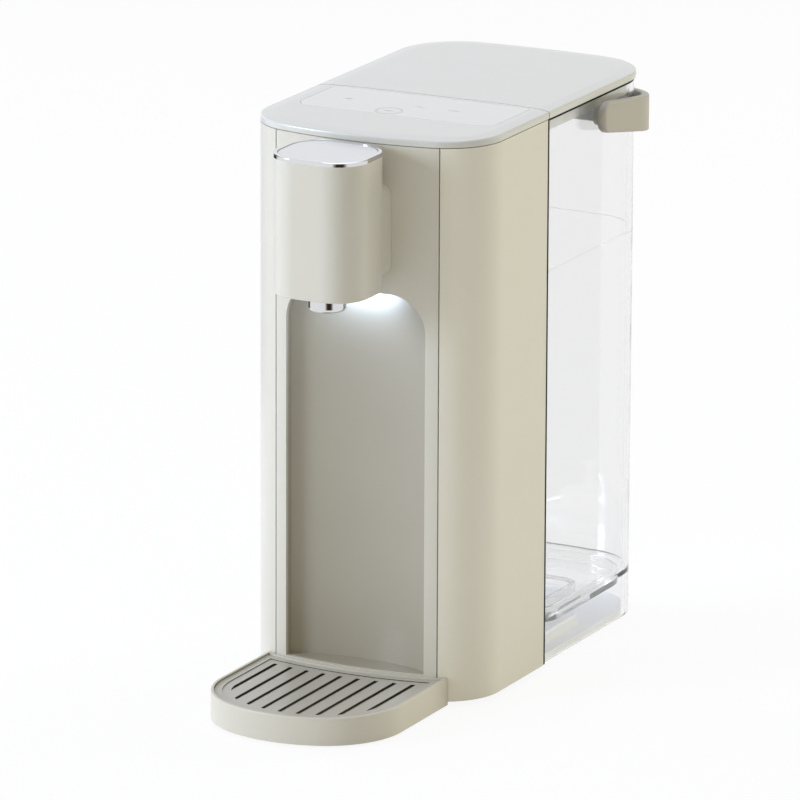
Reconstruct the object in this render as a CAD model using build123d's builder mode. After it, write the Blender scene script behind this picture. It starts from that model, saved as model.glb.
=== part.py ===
from build123d import *
import os
from math import radians, tan

# Countertop instant hot water dispenser with a lift-off clear tank behind its body.
# Millimetres, +Z up, front towards -Y. The origin is on the table, under the middle of the
# whole machine's bounding box. Feet stand on z = 0.
os.makedirs("parts", exist_ok=True)


# Overall size of the column: body in front, tank behind
body_width = 135.0
body_depth = 224.0
body_height = 300.0
front_bulge = 12.0
front_corner = 32.0
rear_bulge = 5.0
rear_corner = 35.0

# Feet and floor of the machine
foot_height = 2.5
foot_radius = 8.0
foot_chamfer = 0.5
foot_peg_radius = 3.0
foot_margin = 6.0
bottom_cover_thickness = 1.5
base_thickness = 2.0
base_rim_height = 12.0
base_rim_thickness = 2.0
pedestal_inset = 5.0
boss_radius = 3.5
boss_height = 7.0
boss_margin = 11.0
boss_front = 56.0
boss_rear = 78.0
vent_length = 26.0
vent_width = 2.4
vent_pitch = 6.0
vent_count = 7
vent_setback = 46.0

# Walls, visible seams and clearances
shell_wall = 2.5
cover_thickness = 4.0
cover_edge = 1.0
cover_roll = 7.0
cover_drop = 0.6
seam_gap = 0.6
line_gap = 0.4
lid_line_gap = 1.6
part_gap = 0.2
fit_gap = 0.3
touch_gap = 0.1
running_gap = 0.06
screw_length = 5.0
screw_radius = 1.5
screw_head_radius = 3.0
screw_head_height = 1.4
screw_gap = 0.15

# Where the body ends, measured back from its front, and how much further back the lid begins
tank_seam_depth = 92.0
lid_seam_setback = 3.0
lid_seam_sweep = 4.0
lid_seam_flat = 70.0
lid_seam_gap = 0.9

# Side panels, front panel and its niche
rib_depth = 3.0
rib_thickness = 1.5
rib_spacing = 28.0
rib_bottom = 20.0
rib_margin = 5.0
front_panel_width = 93.6
niche_width = 80.0
niche_drop = 5.5
niche_corner = 20.0
niche_depth = 18.0
niche_edge_depth = 9.0
niche_wall = 1.2
niche_flange = 3.0
lamp_length = 30.0
lamp_width = 1.6
lamp_height = 4.0
lamp_board_depth = 9.0
lamp_setback = 7.0

# Spout: head, neck, chrome ring, cap and nozzle
spout_reach = 27.0
spout_width = 52.0
spout_depth = 47.0
spout_corner = 18.0
spout_height = 71.0
spout_drop = 6.0
spout_wall = 2.2
spout_edge = 1.2
neck_width = 44.0
neck_rise = 3.5
neck_drop = 17.3
neck_corner = 8.0
neck_bore = 5.5
spigot_radius = 7.5
spigot_length = 3.0
neck_screw_pitch_x = 28.0
neck_screw_pitch_z = 34.0
spout_screw_pitch = 34.0
ring_width = 2.0
ring_height = 2.2
ring_ledge = 1.6
ledge_thickness = 0.8
ring_spigot = 3.5
ring_edge = 0.5
cap_recess = 0.3
cap_edge = 0.3
nozzle_radius = 10.0
nozzle_drop = 9.5
nozzle_edge = 2.0
nozzle_stem_radius = 8.4
nozzle_stem_height = 9.0
nozzle_bore = 6.5
insert_recess = 3.0
insert_height = 9.5
outlet_bore = 2.5
nut_across = 24.0
nut_height = 4.0
chamber_radius = 13.0
chamber_headroom = 24.0
chamber_wall = 1.5

# Drip tray and its grate
tray_width = 104.4
tray_reach = 90.4
tray_bulge = 25.0
tray_corner = 43.0
tray_bottom = 1.0
tray_top = 15.6
tray_floor = 2.0
tray_rim = 1.6
tray_ledge = 2.4
tray_edge = 0.6
grate_thickness = 1.6
grate_drop = 1.0
grate_border = 4.0
grate_dish = 0.4
slot_width = 2.4
slot_pitch = 10.0
slot_count = 9
slot_margin = 10.5
tongue_width = 70.0
tongue_gap = 7.5
tongue_thickness = 3.0
rail_front = 7.0
rail_thickness = 2.0
rail_lip = 5.0
rail_lip_thickness = 1.4

# Clear tank and its lid
tank_inset = 1.0
tank_wall = 2.6
tank_floor_top = 28.0
tank_skirt_gap = 0.5
sump_side = 9.0
sump_front = 12.0
sump_rear = 15.0
sump_depth = 5.0
sump_front_corner = 12.0
sump_rear_corner = 26.0
well_width = 84.0
well_length = 62.0
well_front = 13.0
well_corner = 10.0
fill_line_drop = 87.0
fill_line_depth = 0.5
fill_line_width = 1.0
lid_plug_depth = 8.0
lid_plug_wall = 1.8
lid_plug_gap = 2.0

# Dock that the tank stands over, and the valve between them
dock_width = 110.0
dock_length = 66.0
dock_top = 12.4
dock_wall = 2.0
dock_corner = 8.0
dock_edge = 1.2
channel_margin = 1.2
valve_setback = 51.0
valve_radius = 8.6
valve_bore = 6.4
valve_neck_radius = 7.6
valve_flange = 12.5
valve_flange_height = 1.5
valve_tail = 5.6
valve_seat_drop = 1.5
seat_thickness = 1.5
seat_bore = 4.5
valve_lift = 2.5
poppet_radius = 5.6
poppet_thickness = 1.5
stem_radius = 1.5
seal_thickness = 0.8
spring_radius = 3.8
spring_wire = 0.35
spring_height = 6.4
spring_turns = 4
cage_thickness = 1.4
filter_radius = 12.0
filter_height = 14.0
filter_top_radius = 6.5
filter_wall = 1.0
filter_slot = 2.0
filter_slots = 8
socket_radius = 12.5
socket_bore = 10.0
socket_flange = 15.0
socket_flange_height = 0.8
socket_floor = 1.2
dock_pin_radius = 1.8
ring_seal_wire = 0.45

# Level float on its guide, in the left of the tank's well
float_radius = 8.5
float_height = 12.0
float_offset = 30.0
float_setback = 34.0
float_travel = 14.0
guide_radius = 2.0
guide_foot_radius = 6.0
guide_foot_height = 1.5
guide_clip_radius = 3.4
guide_clip = 1.2

# Carrying handle, a bail round the back of the tank
handle_gap = 2.5
handle_thickness = 4.5
handle_overrun = 0.4
handle_end_radius = 8.2
handle_rear_radius = 10.5
handle_tilt = 9.0
handle_roll = 4.2
handle_edge = 1.2
pivot_setback = 58.0
pivot_drop = 14.8
pivot_pin_radius = 3.0
pivot_boss_radius = 4.7
pivot_boss_bore = 2.6

# Touch window and control board in the top
window_width = 114.0
window_front = 44.5
window_rear_margin = 3.0
window_corner = 10.0
window_rear_corner = 3.0
window_thickness = 1.2
board_thickness = 1.6
board_drop = 5.0
board_margin = 6.0
touch_pad_radius = 5.0
touch_pad_left = 37.0
touch_ring_left = 6.0
touch_ring_drop = 15.0
touch_pad_right = 4.0
touch_pad_far_right = 24.0
post_radius = 2.5
skirt_depth = 7.0
skirt_wall = 1.8

# Works inside the body
bulkhead_thickness = 2.2
bulkhead_flange = 8.0
bulkhead_edge = 2.2
heater_gap = 37.0
heater_stand = 26.0
heater_lift = 18.0
heater_drop = 31.6
heater_radius = 17.5
heater_wall = 1.6
heater_cap_height = 12.0
heater_cap_overlap = 6.0
heater_cap_wall = 1.5
heater_port_drop = 3.0
band_thickness = 2.8
band_height = 12.0
band_margin = 30.0
band_foot = 56.0
band_screw_pitch = 48.0
cutout_radius = 8.0
cutout_length = 7.0
sensor_radius = 3.0
sensor_offset = 10.0
sensor_height = 14.0
pump_radius = 17.0
pump_height = 18.0
pump_wall = 3.0
motor_radius = 13.5
motor_height = 32.0
shaft_radius = 1.5
shaft_reach = 6.0
impeller_gap = 0.6
impeller_hub = 4.0
impeller_blades = 6
impeller_blade = 1.6
damper_size = 36.0
damper_height = 4.0
damper_corner = 4.0
hose_radius = 2.8
hose_bore = 1.6
port_length = 4.0
feed_offset = 37.0
meter_radius = 8.0
meter_height = 22.0
meter_lift = 18.0
dock_hose_turn = 5.5
pump_hose_turn = 13.0
heater_hose_turn = 10.0
outlet_hose_turn = 15.0
outlet_hose_sweep = 40.0
outlet_hose_lead = 30.0

# Electrics
power_board_width = 54.0
power_board_height = 92.0
power_board_lift = 106.0
power_board_gap = 5.0
power_board_margin = 5.0
standoff_length = 8.0
transformer_width = 24.0
transformer_height = 28.0
transformer_depth = 18.0
transformer_left = 10.0
transformer_low = 21.0
relay_width = 14.0
relay_height = 16.0
relay_depth = 15.0
relay_right = 15.0
relay_low = 18.0
relay_pitch = 20.0
capacitor_radius = 6.0
capacitor_length = 22.0
capacitor_left = 8.0
capacitor_high = 12.0
capacitor_pitch = 18.0
connector_width = 34.0
connector_height = 8.0
connector_depth = 9.0
connector_high = 34.0
gland_flange_radius = 9.0
gland_radius = 6.8
gland_bore = 3.6
gland_length = 10.0
gland_lip = 2.5
gland_setback = 62.0
gland_height = 26.0
terminal_width = 26.0
terminal_depth = 14.0
terminal_height = 14.0
terminal_side = 24.0
terminal_setback = 67.0

# Row frame: the machine reaches from the tray's front to the handle's back
mid_y = (tray_reach - handle_gap - handle_thickness) / 2
front_y = mid_y - body_depth / 2
rear_y = mid_y + body_depth / 2
seam_y = front_y + tank_seam_depth
lid_seam_y = seam_y + lid_seam_setback
spout_y = front_y - spout_reach
half_width = body_width / 2
far = 2 * body_depth

# Heights and places that several pieces share
base_bottom = foot_height + bottom_cover_thickness
base_top = base_bottom + base_thickness
dock_ceiling = dock_top - dock_wall
cover_bottom = body_height - cover_thickness
panel_top = cover_bottom - line_gap
skirt_bottom = cover_bottom - skirt_depth
spout_top = body_height - spout_drop
spout_bottom = spout_top - spout_height
spout_floor = spout_bottom + shell_wall
neck_bottom = spout_bottom + neck_rise
neck_height = spout_top - neck_drop - neck_bottom
hose_level = neck_bottom + neck_height / 2
niche_bottom = tray_top + line_gap
niche_top = spout_bottom - niche_drop
rib_top = skirt_bottom - rib_margin
fill_line_height = body_height - fill_line_drop
pivot_height = body_height - pivot_drop
panel_half = front_panel_width / 2
bulkhead_rear = seam_y - seam_gap / 2
bulkhead_front = bulkhead_rear - bulkhead_thickness
flange_front = bulkhead_front - bulkhead_flange
panel_rear = bulkhead_rear - bulkhead_edge - part_gap
bulkhead_half = half_width - shell_wall - part_gap
heater_side = half_width - shell_wall - heater_gap
heater_y = bulkhead_front - heater_stand
tongue_length = heater_y - damper_size / 2 - tongue_gap - front_y
valve_y = seam_y + valve_setback
hose_z = base_bottom + part_gap + hose_radius
pump_bottom = base_top + damper_height
pump_top = pump_bottom + pump_height
port_z = pump_bottom + pump_height / 2
meter_bottom = port_z + meter_lift
heater_bottom = pump_top + motor_height + heater_lift
heater_top = hose_level - heater_drop
heater_height = heater_top - heater_bottom
cutout_level = heater_bottom + heater_height / 2
power_board_side = half_width - shell_wall - power_board_gap - power_board_width / 2
power_board_level = base_top + power_board_lift + power_board_height / 2
tongue_bottom = base_top + fit_gap
tongue_top = tongue_bottom + tongue_thickness
rail_side = tongue_width / 2 + fit_gap
channel_width = 2 * (hose_radius + channel_margin)
channel_front = heater_y - hose_radius - channel_margin
lamp_y = front_y + niche_depth - lamp_setback
board_top = cover_bottom - board_drop
window_rear = lid_seam_y - window_rear_margin
window_depth = window_rear - front_y - window_front
window_y = window_rear - window_depth / 2
pivot_y = seam_y + pivot_setback
gland_y = front_y + gland_setback

foot_spots = [
    (side * (half_width - shell_wall - foot_radius - foot_margin), y)
    for side in (-1, 1)
    for y in (front_y + front_corner, rear_y - rear_corner)
]
cover_screw_spots = [
    (side * (half_width - shell_wall - boss_margin), front_y + setback)
    for side in (-1, 1)
    for setback in (boss_front, boss_rear)
]
neck_screw_spots = [
    (side * neck_screw_pitch_x / 2, hose_level + rise * neck_screw_pitch_z / 2)
    for side in (-1, 1)
    for rise in (-1, 1)
]
spout_screw_spots = [(0, hose_level + rise * spout_screw_pitch / 2) for rise in (-1, 1)]
band_levels = [heater_bottom + band_margin, heater_top - band_margin]
band_screw_spots = [
    (heater_side + side * band_screw_pitch / 2, level)
    for side in (-1, 1)
    for level in band_levels
]
board_screw_spots = [
    (
        -power_board_side + side * (power_board_width / 2 - power_board_margin),
        power_board_level + rise * (power_board_height / 2 - power_board_margin),
    )
    for side in (-1, 1)
    for rise in (-1, 1)
]
post_spots = [
    (side * (window_width / 2 - 2 * board_margin), window_y + end * (window_depth / 2 - 1.5 * board_margin))
    for side in (-1, 1)
    for end in (-1, 1)
]
touch_spots = [
    (-touch_pad_left, window_y),
    (-touch_ring_left, window_y - touch_ring_drop),
    (touch_pad_right, window_y),
    (touch_pad_far_right, window_y),
]


def column_plan(width, front, rear, front_rise, rear_rise, front_radius, rear_radius):
    """Plan with straight sides and arched ends, its corners rounded, as one sketch."""
    half = width / 2
    with BuildSketch() as plan:
        with BuildLine():
            Line((half, front + front_rise), (half, rear - rear_rise))
            ThreePointArc((half, rear - rear_rise), (0, rear), (-half, rear - rear_rise))
            Line((-half, rear - rear_rise), (-half, front + front_rise))
            ThreePointArc((-half, front + front_rise), (0, front), (half, front + front_rise))
        make_face()
        fillet(plan.vertices().sort_by(Axis.Y)[:2], front_radius)
        fillet(plan.vertices().sort_by(Axis.Y)[-2:], rear_radius)
    return plan.sketch


def body_plan(inset=0.0):
    """Plan of the whole column, drawn in by inset, or grown where inset is negative."""
    with BuildSketch() as plan:
        add(column_plan(body_width, front_y, rear_y, front_bulge, rear_bulge, front_corner, rear_corner))
        if inset:
            offset(amount=-inset)
    return plan.sketch


def body_ring(outer_inset, inner_inset):
    """Closed band of the column's plan between two insets."""
    with BuildSketch() as band:
        add(body_plan(outer_inset))
        add(body_plan(inner_inset), mode=Mode.SUBTRACT)
    return band.sketch


def front_half(shape, limit):
    """The part of a plan that lies in front of limit."""
    with BuildSketch() as kept:
        add(shape)
        with Locations((0, limit - far / 2)):
            Rectangle(far, far, mode=Mode.INTERSECT)
    return kept.sketch


def rear_half(shape, limit):
    """The part of a plan that lies behind limit."""
    with BuildSketch() as kept:
        add(shape)
        with Locations((0, limit + far / 2)):
            Rectangle(far, far, mode=Mode.INTERSECT)
    return kept.sketch


def behind_lid_seam(gap):
    """Everything behind the curved seam between top cover and tank lid, moved back by gap."""
    seam = lid_seam_y + gap
    flat = lid_seam_flat / 2
    tip = seam - lid_seam_sweep
    with BuildSketch() as region:
        with BuildLine():
            Line((-flat, seam), (flat, seam))
            TangentArc((flat, seam), (half_width, tip), tangent=(1, 0))
            Polyline(
                (half_width, tip), (far, tip), (far, far), (-far, far), (-far, tip), (-half_width, tip)
            )
            TangentArc((-flat, seam), (-half_width, tip), tangent=(-1, 0))
        make_face()
    return region.sketch


def tank_plan(inset):
    """Plan of the tank, whose front follows the lid's seam, drawn in by inset."""
    with BuildSketch() as plan:
        add(body_plan(tank_inset))
        add(behind_lid_seam(seam_gap), mode=Mode.INTERSECT)
        with Locations((0, seam_y + seam_gap / 2 + far / 2)):
            Rectangle(far, far, mode=Mode.INTERSECT)
        if inset:
            offset(amount=-inset, kind=Kind.INTERSECTION)
    return plan.sketch


def spout_plan(inset=0.0):
    """Plan of the spout head, a rounded rectangle, drawn in by inset."""
    with BuildSketch() as plan:
        with Locations((0, spout_y)):
            RectangleRounded(spout_width - 2 * inset, spout_depth - 2 * inset, spout_corner - inset)
    return plan.sketch


def niche_face(grow, bottom):
    """Front view of the niche opening, rounded at its top corners, grown by grow."""
    top = niche_top + grow
    with BuildSketch() as face:
        with Locations((0, (bottom + top) / 2)):
            Rectangle(niche_width + 2 * grow, top - bottom)
        fillet(face.vertices().group_by(Axis.Y)[-1], niche_corner + grow)
    return face.sketch


def before_niche_back(gap):
    """Everything in front of the niche's trough-shaped back, moved back by gap."""
    half = niche_width / 2 + niche_wall
    edge = front_y + niche_edge_depth + gap
    with BuildSketch() as region:
        with BuildLine():
            ThreePointArc((-half, edge), (0, front_y + niche_depth + gap), (half, edge))
            Polyline((half, edge), (half, front_y), (-half, front_y), (-half, edge))
        make_face()
    return region.sketch


def tray_plan(inset):
    """Plan of the drip tray, hollowed at the back to follow the body's front."""
    with BuildSketch() as plan:
        add(column_plan(tray_width, front_y - tray_reach, rear_y, tray_bulge, 1, tray_corner, 1))
        add(body_plan(-seam_gap), mode=Mode.SUBTRACT)
    with BuildSketch() as shape:
        add(plan.faces().sort_by(Axis.Y)[0])
        if inset:
            offset(amount=-inset, kind=Kind.INTERSECTION)
    return shape.sketch


def window_face(inset):
    """Plan of the touch window, rounder at its front corners, drawn in by inset."""
    with BuildSketch() as face:
        with Locations((0, window_y)):
            Rectangle(window_width - 2 * inset, window_depth - 2 * inset)
        fillet(face.vertices().sort_by(Axis.Y)[:2], window_corner - inset)
        fillet(face.vertices().sort_by(Axis.Y)[-2:], window_rear_corner - inset)
    return face.sketch


# Base pan: floor of the body, with the pedestal and the dock that the tank stands over
with BuildPart() as base_pan:
    with BuildSketch(Plane.XY.offset(base_bottom)):
        add(front_half(body_plan(shell_wall + part_gap), seam_y))
        add(rear_half(body_plan(pedestal_inset), seam_y))
    extrude(amount=base_thickness)
    with BuildSketch(Plane.XY.offset(base_bottom)):
        with Locations((0, seam_y + dock_length / 2)):
            RectangleRounded(dock_width, dock_length, dock_corner)
    extrude(amount=dock_top - base_bottom)
    fillet(base_pan.edges().group_by(Axis.Z)[-1], dock_edge)
    with BuildSketch(Plane.XY.offset(base_bottom)):
        add(front_half(body_ring(shell_wall + part_gap, shell_wall + part_gap + base_rim_thickness),
                       flange_front - part_gap))
        with Locations((0, front_y)):
            Rectangle(
                niche_width + 2 * (niche_wall + niche_flange + part_gap), front_corner, mode=Mode.SUBTRACT
            )
    extrude(amount=base_rim_height)
    with BuildSketch(Plane.XY.offset(base_bottom)):
        with Locations((0, seam_y + dock_length / 2)):
            RectangleRounded(dock_width - 2 * dock_wall, dock_length - 2 * dock_wall, dock_corner - dock_wall)
        with Locations((0, (channel_front + seam_y + 2 * dock_wall) / 2)):
            Rectangle(channel_width, seam_y + 2 * dock_wall - channel_front)
    extrude(amount=dock_ceiling - base_bottom, mode=Mode.SUBTRACT)
    for side in (-1, 1):
        with BuildSketch(Plane.XY.offset(base_top)):
            with Locations(
                (side * (rail_side + rail_thickness / 2), front_y + rail_front + tongue_length / 2)
            ):
                Rectangle(rail_thickness, tongue_length)
        extrude(amount=tongue_top + fit_gap + rail_lip_thickness - base_top)
        with BuildSketch(Plane.XY.offset(tongue_top + fit_gap)):
            with Locations((side * (rail_side + rail_thickness - rail_lip / 2),
                            front_y + rail_front + tongue_length / 2)):
                Rectangle(rail_lip, tongue_length)
        extrude(amount=rail_lip_thickness)
    with BuildSketch(Plane.XY.offset(base_top)):
        with Locations(*cover_screw_spots):
            Circle(boss_radius)
    extrude(amount=boss_height)
    with BuildSketch(Plane.XY.offset(base_bottom)):
        with Locations(*cover_screw_spots):
            Circle(screw_radius + screw_gap)
    extrude(amount=base_thickness + boss_height / 2, mode=Mode.SUBTRACT)
    with BuildSketch(Plane.XY.offset(base_bottom)):
        with Locations((0, valve_y)):
            Circle(socket_radius + part_gap)
    extrude(amount=dock_top - base_bottom, mode=Mode.SUBTRACT)
base_pan.part.label = "base_pan"
export_step(base_pan.part, "parts/base_pan.step")

# Bottom cover: thin plate screwed under the base pan, with cooling slots
with BuildPart() as bottom_cover:
    with BuildSketch(Plane.XY.offset(foot_height)):
        add(front_half(body_plan(shell_wall + part_gap), seam_y))
        add(rear_half(body_plan(pedestal_inset), seam_y))
        with Locations(*foot_spots):
            Circle(foot_peg_radius + part_gap, mode=Mode.SUBTRACT)
        with Locations(*cover_screw_spots):
            Circle(screw_radius + screw_gap, mode=Mode.SUBTRACT)
        with Locations((0, front_y + vent_setback)):
            with GridLocations(vent_pitch, 0, vent_count, 1):
                SlotOverall(vent_length, vent_width, rotation=90, mode=Mode.SUBTRACT)
    extrude(amount=bottom_cover_thickness)
bottom_cover.part.label = "bottom_cover"
export_step(bottom_cover.part, "parts/bottom_cover.step")

# Rubber feet: discs with pegs pushed through the bottom cover
with BuildPart() as rubber_feet:
    with BuildSketch():
        with Locations(*foot_spots):
            Circle(foot_radius)
    extrude(amount=foot_height)
    chamfer(rubber_feet.edges().group_by(Axis.Z)[0], foot_chamfer)
    with BuildSketch(Plane.XY.offset(foot_height)):
        with Locations(*foot_spots):
            Circle(foot_peg_radius)
    extrude(amount=bottom_cover_thickness)
rubber_feet.part.label = "rubber_feet"
export_step(rubber_feet.part, "parts/rubber_feet.step")

def side_panel(side):
    """Moulded side panel that wraps one front corner, with two stiffening ribs inside."""
    with BuildPart() as panel:
        with BuildSketch(Plane.XY.offset(foot_height)):
            add(front_half(body_ring(0, shell_wall), panel_rear))
            with Locations((side * (panel_half + seam_gap / 2 + far / 2), 0)):
                Rectangle(far, far, mode=Mode.INTERSECT)
        extrude(amount=panel_top - foot_height)
        with BuildSketch(Plane.XY.offset(rib_bottom)):
            for rib_y in (flange_front - part_gap - rib_thickness, flange_front - rib_spacing):
                with Locations((side * (half_width - shell_wall - rib_depth / 2), rib_y)):
                    Rectangle(rib_depth, rib_thickness)
        extrude(amount=rib_top - rib_bottom)
    return panel.part


# Right side panel
with BuildPart() as right_side_panel:
    add(side_panel(1))
right_side_panel.part.label = "right_side_panel"
export_step(right_side_panel.part, "parts/right_side_panel.step")

# Left side panel, with the hole for the power cord's gland near its foot
with BuildPart() as left_side_panel:
    add(side_panel(-1))
    with BuildSketch(Plane.YZ.offset(-half_width)):
        with Locations((gland_y, gland_height)):
            Circle(gland_radius + part_gap)
    extrude(amount=shell_wall + rib_depth, mode=Mode.SUBTRACT)
left_side_panel.part.label = "left_side_panel"
export_step(left_side_panel.part, "parts/left_side_panel.step")

# Air of the niche: what the front panel and the splash back leave open
with BuildPart() as niche_air:
    with BuildSketch(Plane.XZ.offset(-front_y)):
        add(niche_face(0, niche_bottom))
    extrude(amount=-front_corner)
    with BuildSketch():
        add(before_niche_back(0))
    extrude(amount=body_height, mode=Mode.INTERSECT)

# Front panel: curved plate with the niche opening, the neck's hole and the tray's slot
with BuildPart() as front_panel:
    with BuildSketch(Plane.XY.offset(foot_height)):
        add(body_ring(0, shell_wall))
        with Locations((0, front_y)):
            Rectangle(2 * (panel_half - seam_gap / 2), front_corner, mode=Mode.INTERSECT)
    extrude(amount=panel_top - foot_height)
    add(niche_air.part, mode=Mode.SUBTRACT)
    with BuildSketch(Plane.XZ.offset(-front_y)):
        with Locations((0, hose_level)):
            Circle(spigot_radius + part_gap)
        with Locations(*neck_screw_spots):
            Circle(screw_radius + screw_gap)
        with Locations((0, (tongue_bottom + tongue_top) / 2)):
            Rectangle(tongue_width + 2 * seam_gap, tongue_thickness + 2 * fit_gap)
    extrude(amount=-front_corner / 2, mode=Mode.SUBTRACT)
front_panel.part.label = "front_panel"
export_step(front_panel.part, "parts/front_panel.step")

# Flange of the splash back, which lies against the back of the front panel
with BuildPart() as splash_flange:
    with BuildSketch():
        add(body_ring(shell_wall, shell_wall + niche_wall))
    extrude(amount=body_height)
    with BuildSketch(Plane.XZ.offset(-front_y)):
        add(niche_face(niche_wall + niche_flange, niche_bottom - niche_wall - niche_flange))
    extrude(amount=-front_corner, mode=Mode.INTERSECT)

# Splash back: trough that lines the niche under the spout, with a slot above for the lamp
with BuildPart() as splash_back:
    with BuildSketch():
        add(before_niche_back(niche_wall))
        add(body_plan(shell_wall), mode=Mode.INTERSECT)
    extrude(amount=body_height)
    with BuildSketch(Plane.XZ.offset(-front_y)):
        add(niche_face(niche_wall, niche_bottom - niche_wall))
    extrude(amount=-front_corner, mode=Mode.INTERSECT)
    add(splash_flange.part)
    add(niche_air.part, mode=Mode.SUBTRACT)
    with BuildSketch(Plane.XY.offset(niche_top - niche_wall)):
        with Locations((0, lamp_y)):
            Rectangle(lamp_length + 2 * part_gap, lamp_width + 2 * part_gap)
    extrude(amount=3 * niche_wall, mode=Mode.SUBTRACT)
splash_back.part.label = "splash_back"
export_step(splash_back.part, "parts/splash_back.step")

# Lamp lens: clear bar in the niche's ceiling
with BuildPart() as lamp_lens:
    with BuildSketch(Plane.XY.offset(niche_top)):
        with Locations((0, lamp_y)):
            Rectangle(lamp_length, lamp_width)
    extrude(amount=lamp_height)
lamp_lens.part.label = "lamp_lens"
export_step(lamp_lens.part, "parts/lamp_lens.step")

# Lamp board: small circuit board that rests on the lens
with BuildPart() as lamp_board:
    with BuildSketch(Plane.XY.offset(niche_top + niche_wall + niche_flange + part_gap)):
        with Locations((0, lamp_y + (lamp_board_depth - lamp_width) / 2)):
            Rectangle(lamp_length + 4, lamp_board_depth)
    extrude(amount=board_thickness)
lamp_board.part.label = "lamp_board"
export_step(lamp_board.part, "parts/lamp_board.step")

# Rear bulkhead: wall that closes the body towards the tank and carries the works.
# Its edges close the joint behind the side panels.
with BuildPart() as rear_bulkhead:
    with BuildSketch(Plane.XY.offset(base_top)):
        with Locations((0, bulkhead_rear - bulkhead_thickness / 2)):
            Rectangle(2 * bulkhead_half, bulkhead_thickness)
        for side in (-1, 1):
            with Locations(
                (side * (bulkhead_half - bulkhead_thickness / 2), bulkhead_front - bulkhead_flange / 2)
            ):
                Rectangle(bulkhead_thickness, bulkhead_flange)
        with Locations((0, bulkhead_rear - bulkhead_edge / 2)):
            Rectangle(2 * (half_width - fit_gap), bulkhead_edge)
    extrude(amount=skirt_bottom - part_gap - base_top)
    with BuildSketch(Plane.XY.offset(foot_height)):
        for side in (-1, 1):
            with Locations(
                (side * (half_width - (shell_wall + fit_gap) / 2), bulkhead_rear - bulkhead_edge / 2)
            ):
                Rectangle(shell_wall - fit_gap, bulkhead_edge)
    extrude(amount=panel_top - foot_height)
    with BuildSketch(Plane.XZ.offset(-bulkhead_front)):
        with Locations(*board_screw_spots):
            Circle(post_radius)
    extrude(amount=standoff_length)
    with BuildSketch(Plane.XZ.offset(-bulkhead_front)):
        with Locations(*board_screw_spots):
            Circle(screw_radius + screw_gap)
    extrude(amount=standoff_length, mode=Mode.SUBTRACT)
    with BuildSketch(Plane.XZ.offset(-bulkhead_rear)):
        with Locations((0, (base_top + dock_ceiling + part_gap) / 2)):
            Rectangle(channel_width, dock_ceiling + part_gap - base_top)
        with Locations(*band_screw_spots):
            Circle(screw_radius + screw_gap)
    extrude(amount=bulkhead_thickness, mode=Mode.SUBTRACT)
rear_bulkhead.part.label = "rear_bulkhead"
export_step(rear_bulkhead.part, "parts/rear_bulkhead.step")

# Blank of the whole top, rolled down softly at its rim, before it is cut in two
with BuildPart() as top_blank:
    with BuildSketch(Plane.XY.offset(cover_bottom)):
        add(body_plan())
    extrude(amount=cover_thickness)
    top_face = top_blank.faces().sort_by(Axis.Z)[-1]
    chamfer(top_face.edges(), length=cover_roll, length2=cover_drop, reference=top_face)
    rim = body_height - cover_drop
    rim_edges = top_blank.edges().filter_by_position(Axis.Z, rim - cover_drop / 5, rim + cover_drop / 5)
    fillet(rim_edges, cover_edge)

# Top cover: front part of the top, with the pocket for the touch window
with BuildPart() as top_cover:
    add(top_blank.part)
    with BuildSketch(Plane.XY.offset(cover_bottom)):
        add(behind_lid_seam(-lid_seam_gap / 2))
    extrude(amount=cover_thickness, mode=Mode.SUBTRACT)
    with BuildSketch(Plane.XY.offset(skirt_bottom)):
        add(front_half(body_ring(shell_wall + fit_gap, shell_wall + fit_gap + skirt_wall), bulkhead_rear))
    extrude(amount=skirt_depth)
    with BuildSketch(Plane.XY.offset(board_top)):
        with Locations(*post_spots):
            Circle(post_radius)
    extrude(amount=board_drop)
    with BuildSketch(Plane.XY.offset(board_top)):
        with Locations(*post_spots):
            Circle(screw_radius + screw_gap)
    extrude(amount=board_drop - 1, mode=Mode.SUBTRACT)
    with BuildSketch(Plane.XY.offset(body_height)):
        add(window_face(0))
    extrude(amount=-window_thickness, mode=Mode.SUBTRACT)
top_cover.part.label = "top_cover"
export_step(top_cover.part, "parts/top_cover.step")

# Touch window: clear-coated panel set flush in the top cover
with BuildPart() as touch_window:
    with BuildSketch(Plane.XY.offset(body_height)):
        add(window_face(part_gap))
    extrude(amount=-window_thickness)
touch_window.part.label = "touch_window"
export_step(touch_window.part, "parts/touch_window.step")

# Control board, hung from the top cover's posts
with BuildPart() as control_board:
    with BuildSketch(Plane.XY.offset(board_top)):
        with Locations((0, window_y)):
            Rectangle(window_width - 2 * board_margin, window_depth - board_margin)
        with Locations(*post_spots):
            Circle(screw_radius + screw_gap, mode=Mode.SUBTRACT)
    extrude(amount=-board_thickness)
control_board.part.label = "control_board"
export_step(control_board.part, "parts/control_board.step")

# Touch pads: conductive foam between the board and the underside of the top
with BuildPart() as touch_pads:
    with BuildSketch(Plane.XY.offset(board_top)):
        with Locations(*touch_spots):
            Circle(touch_pad_radius)
    extrude(amount=board_drop)
touch_pads.part.label = "touch_pads"
export_step(touch_pads.part, "parts/touch_pads.step")

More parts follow.
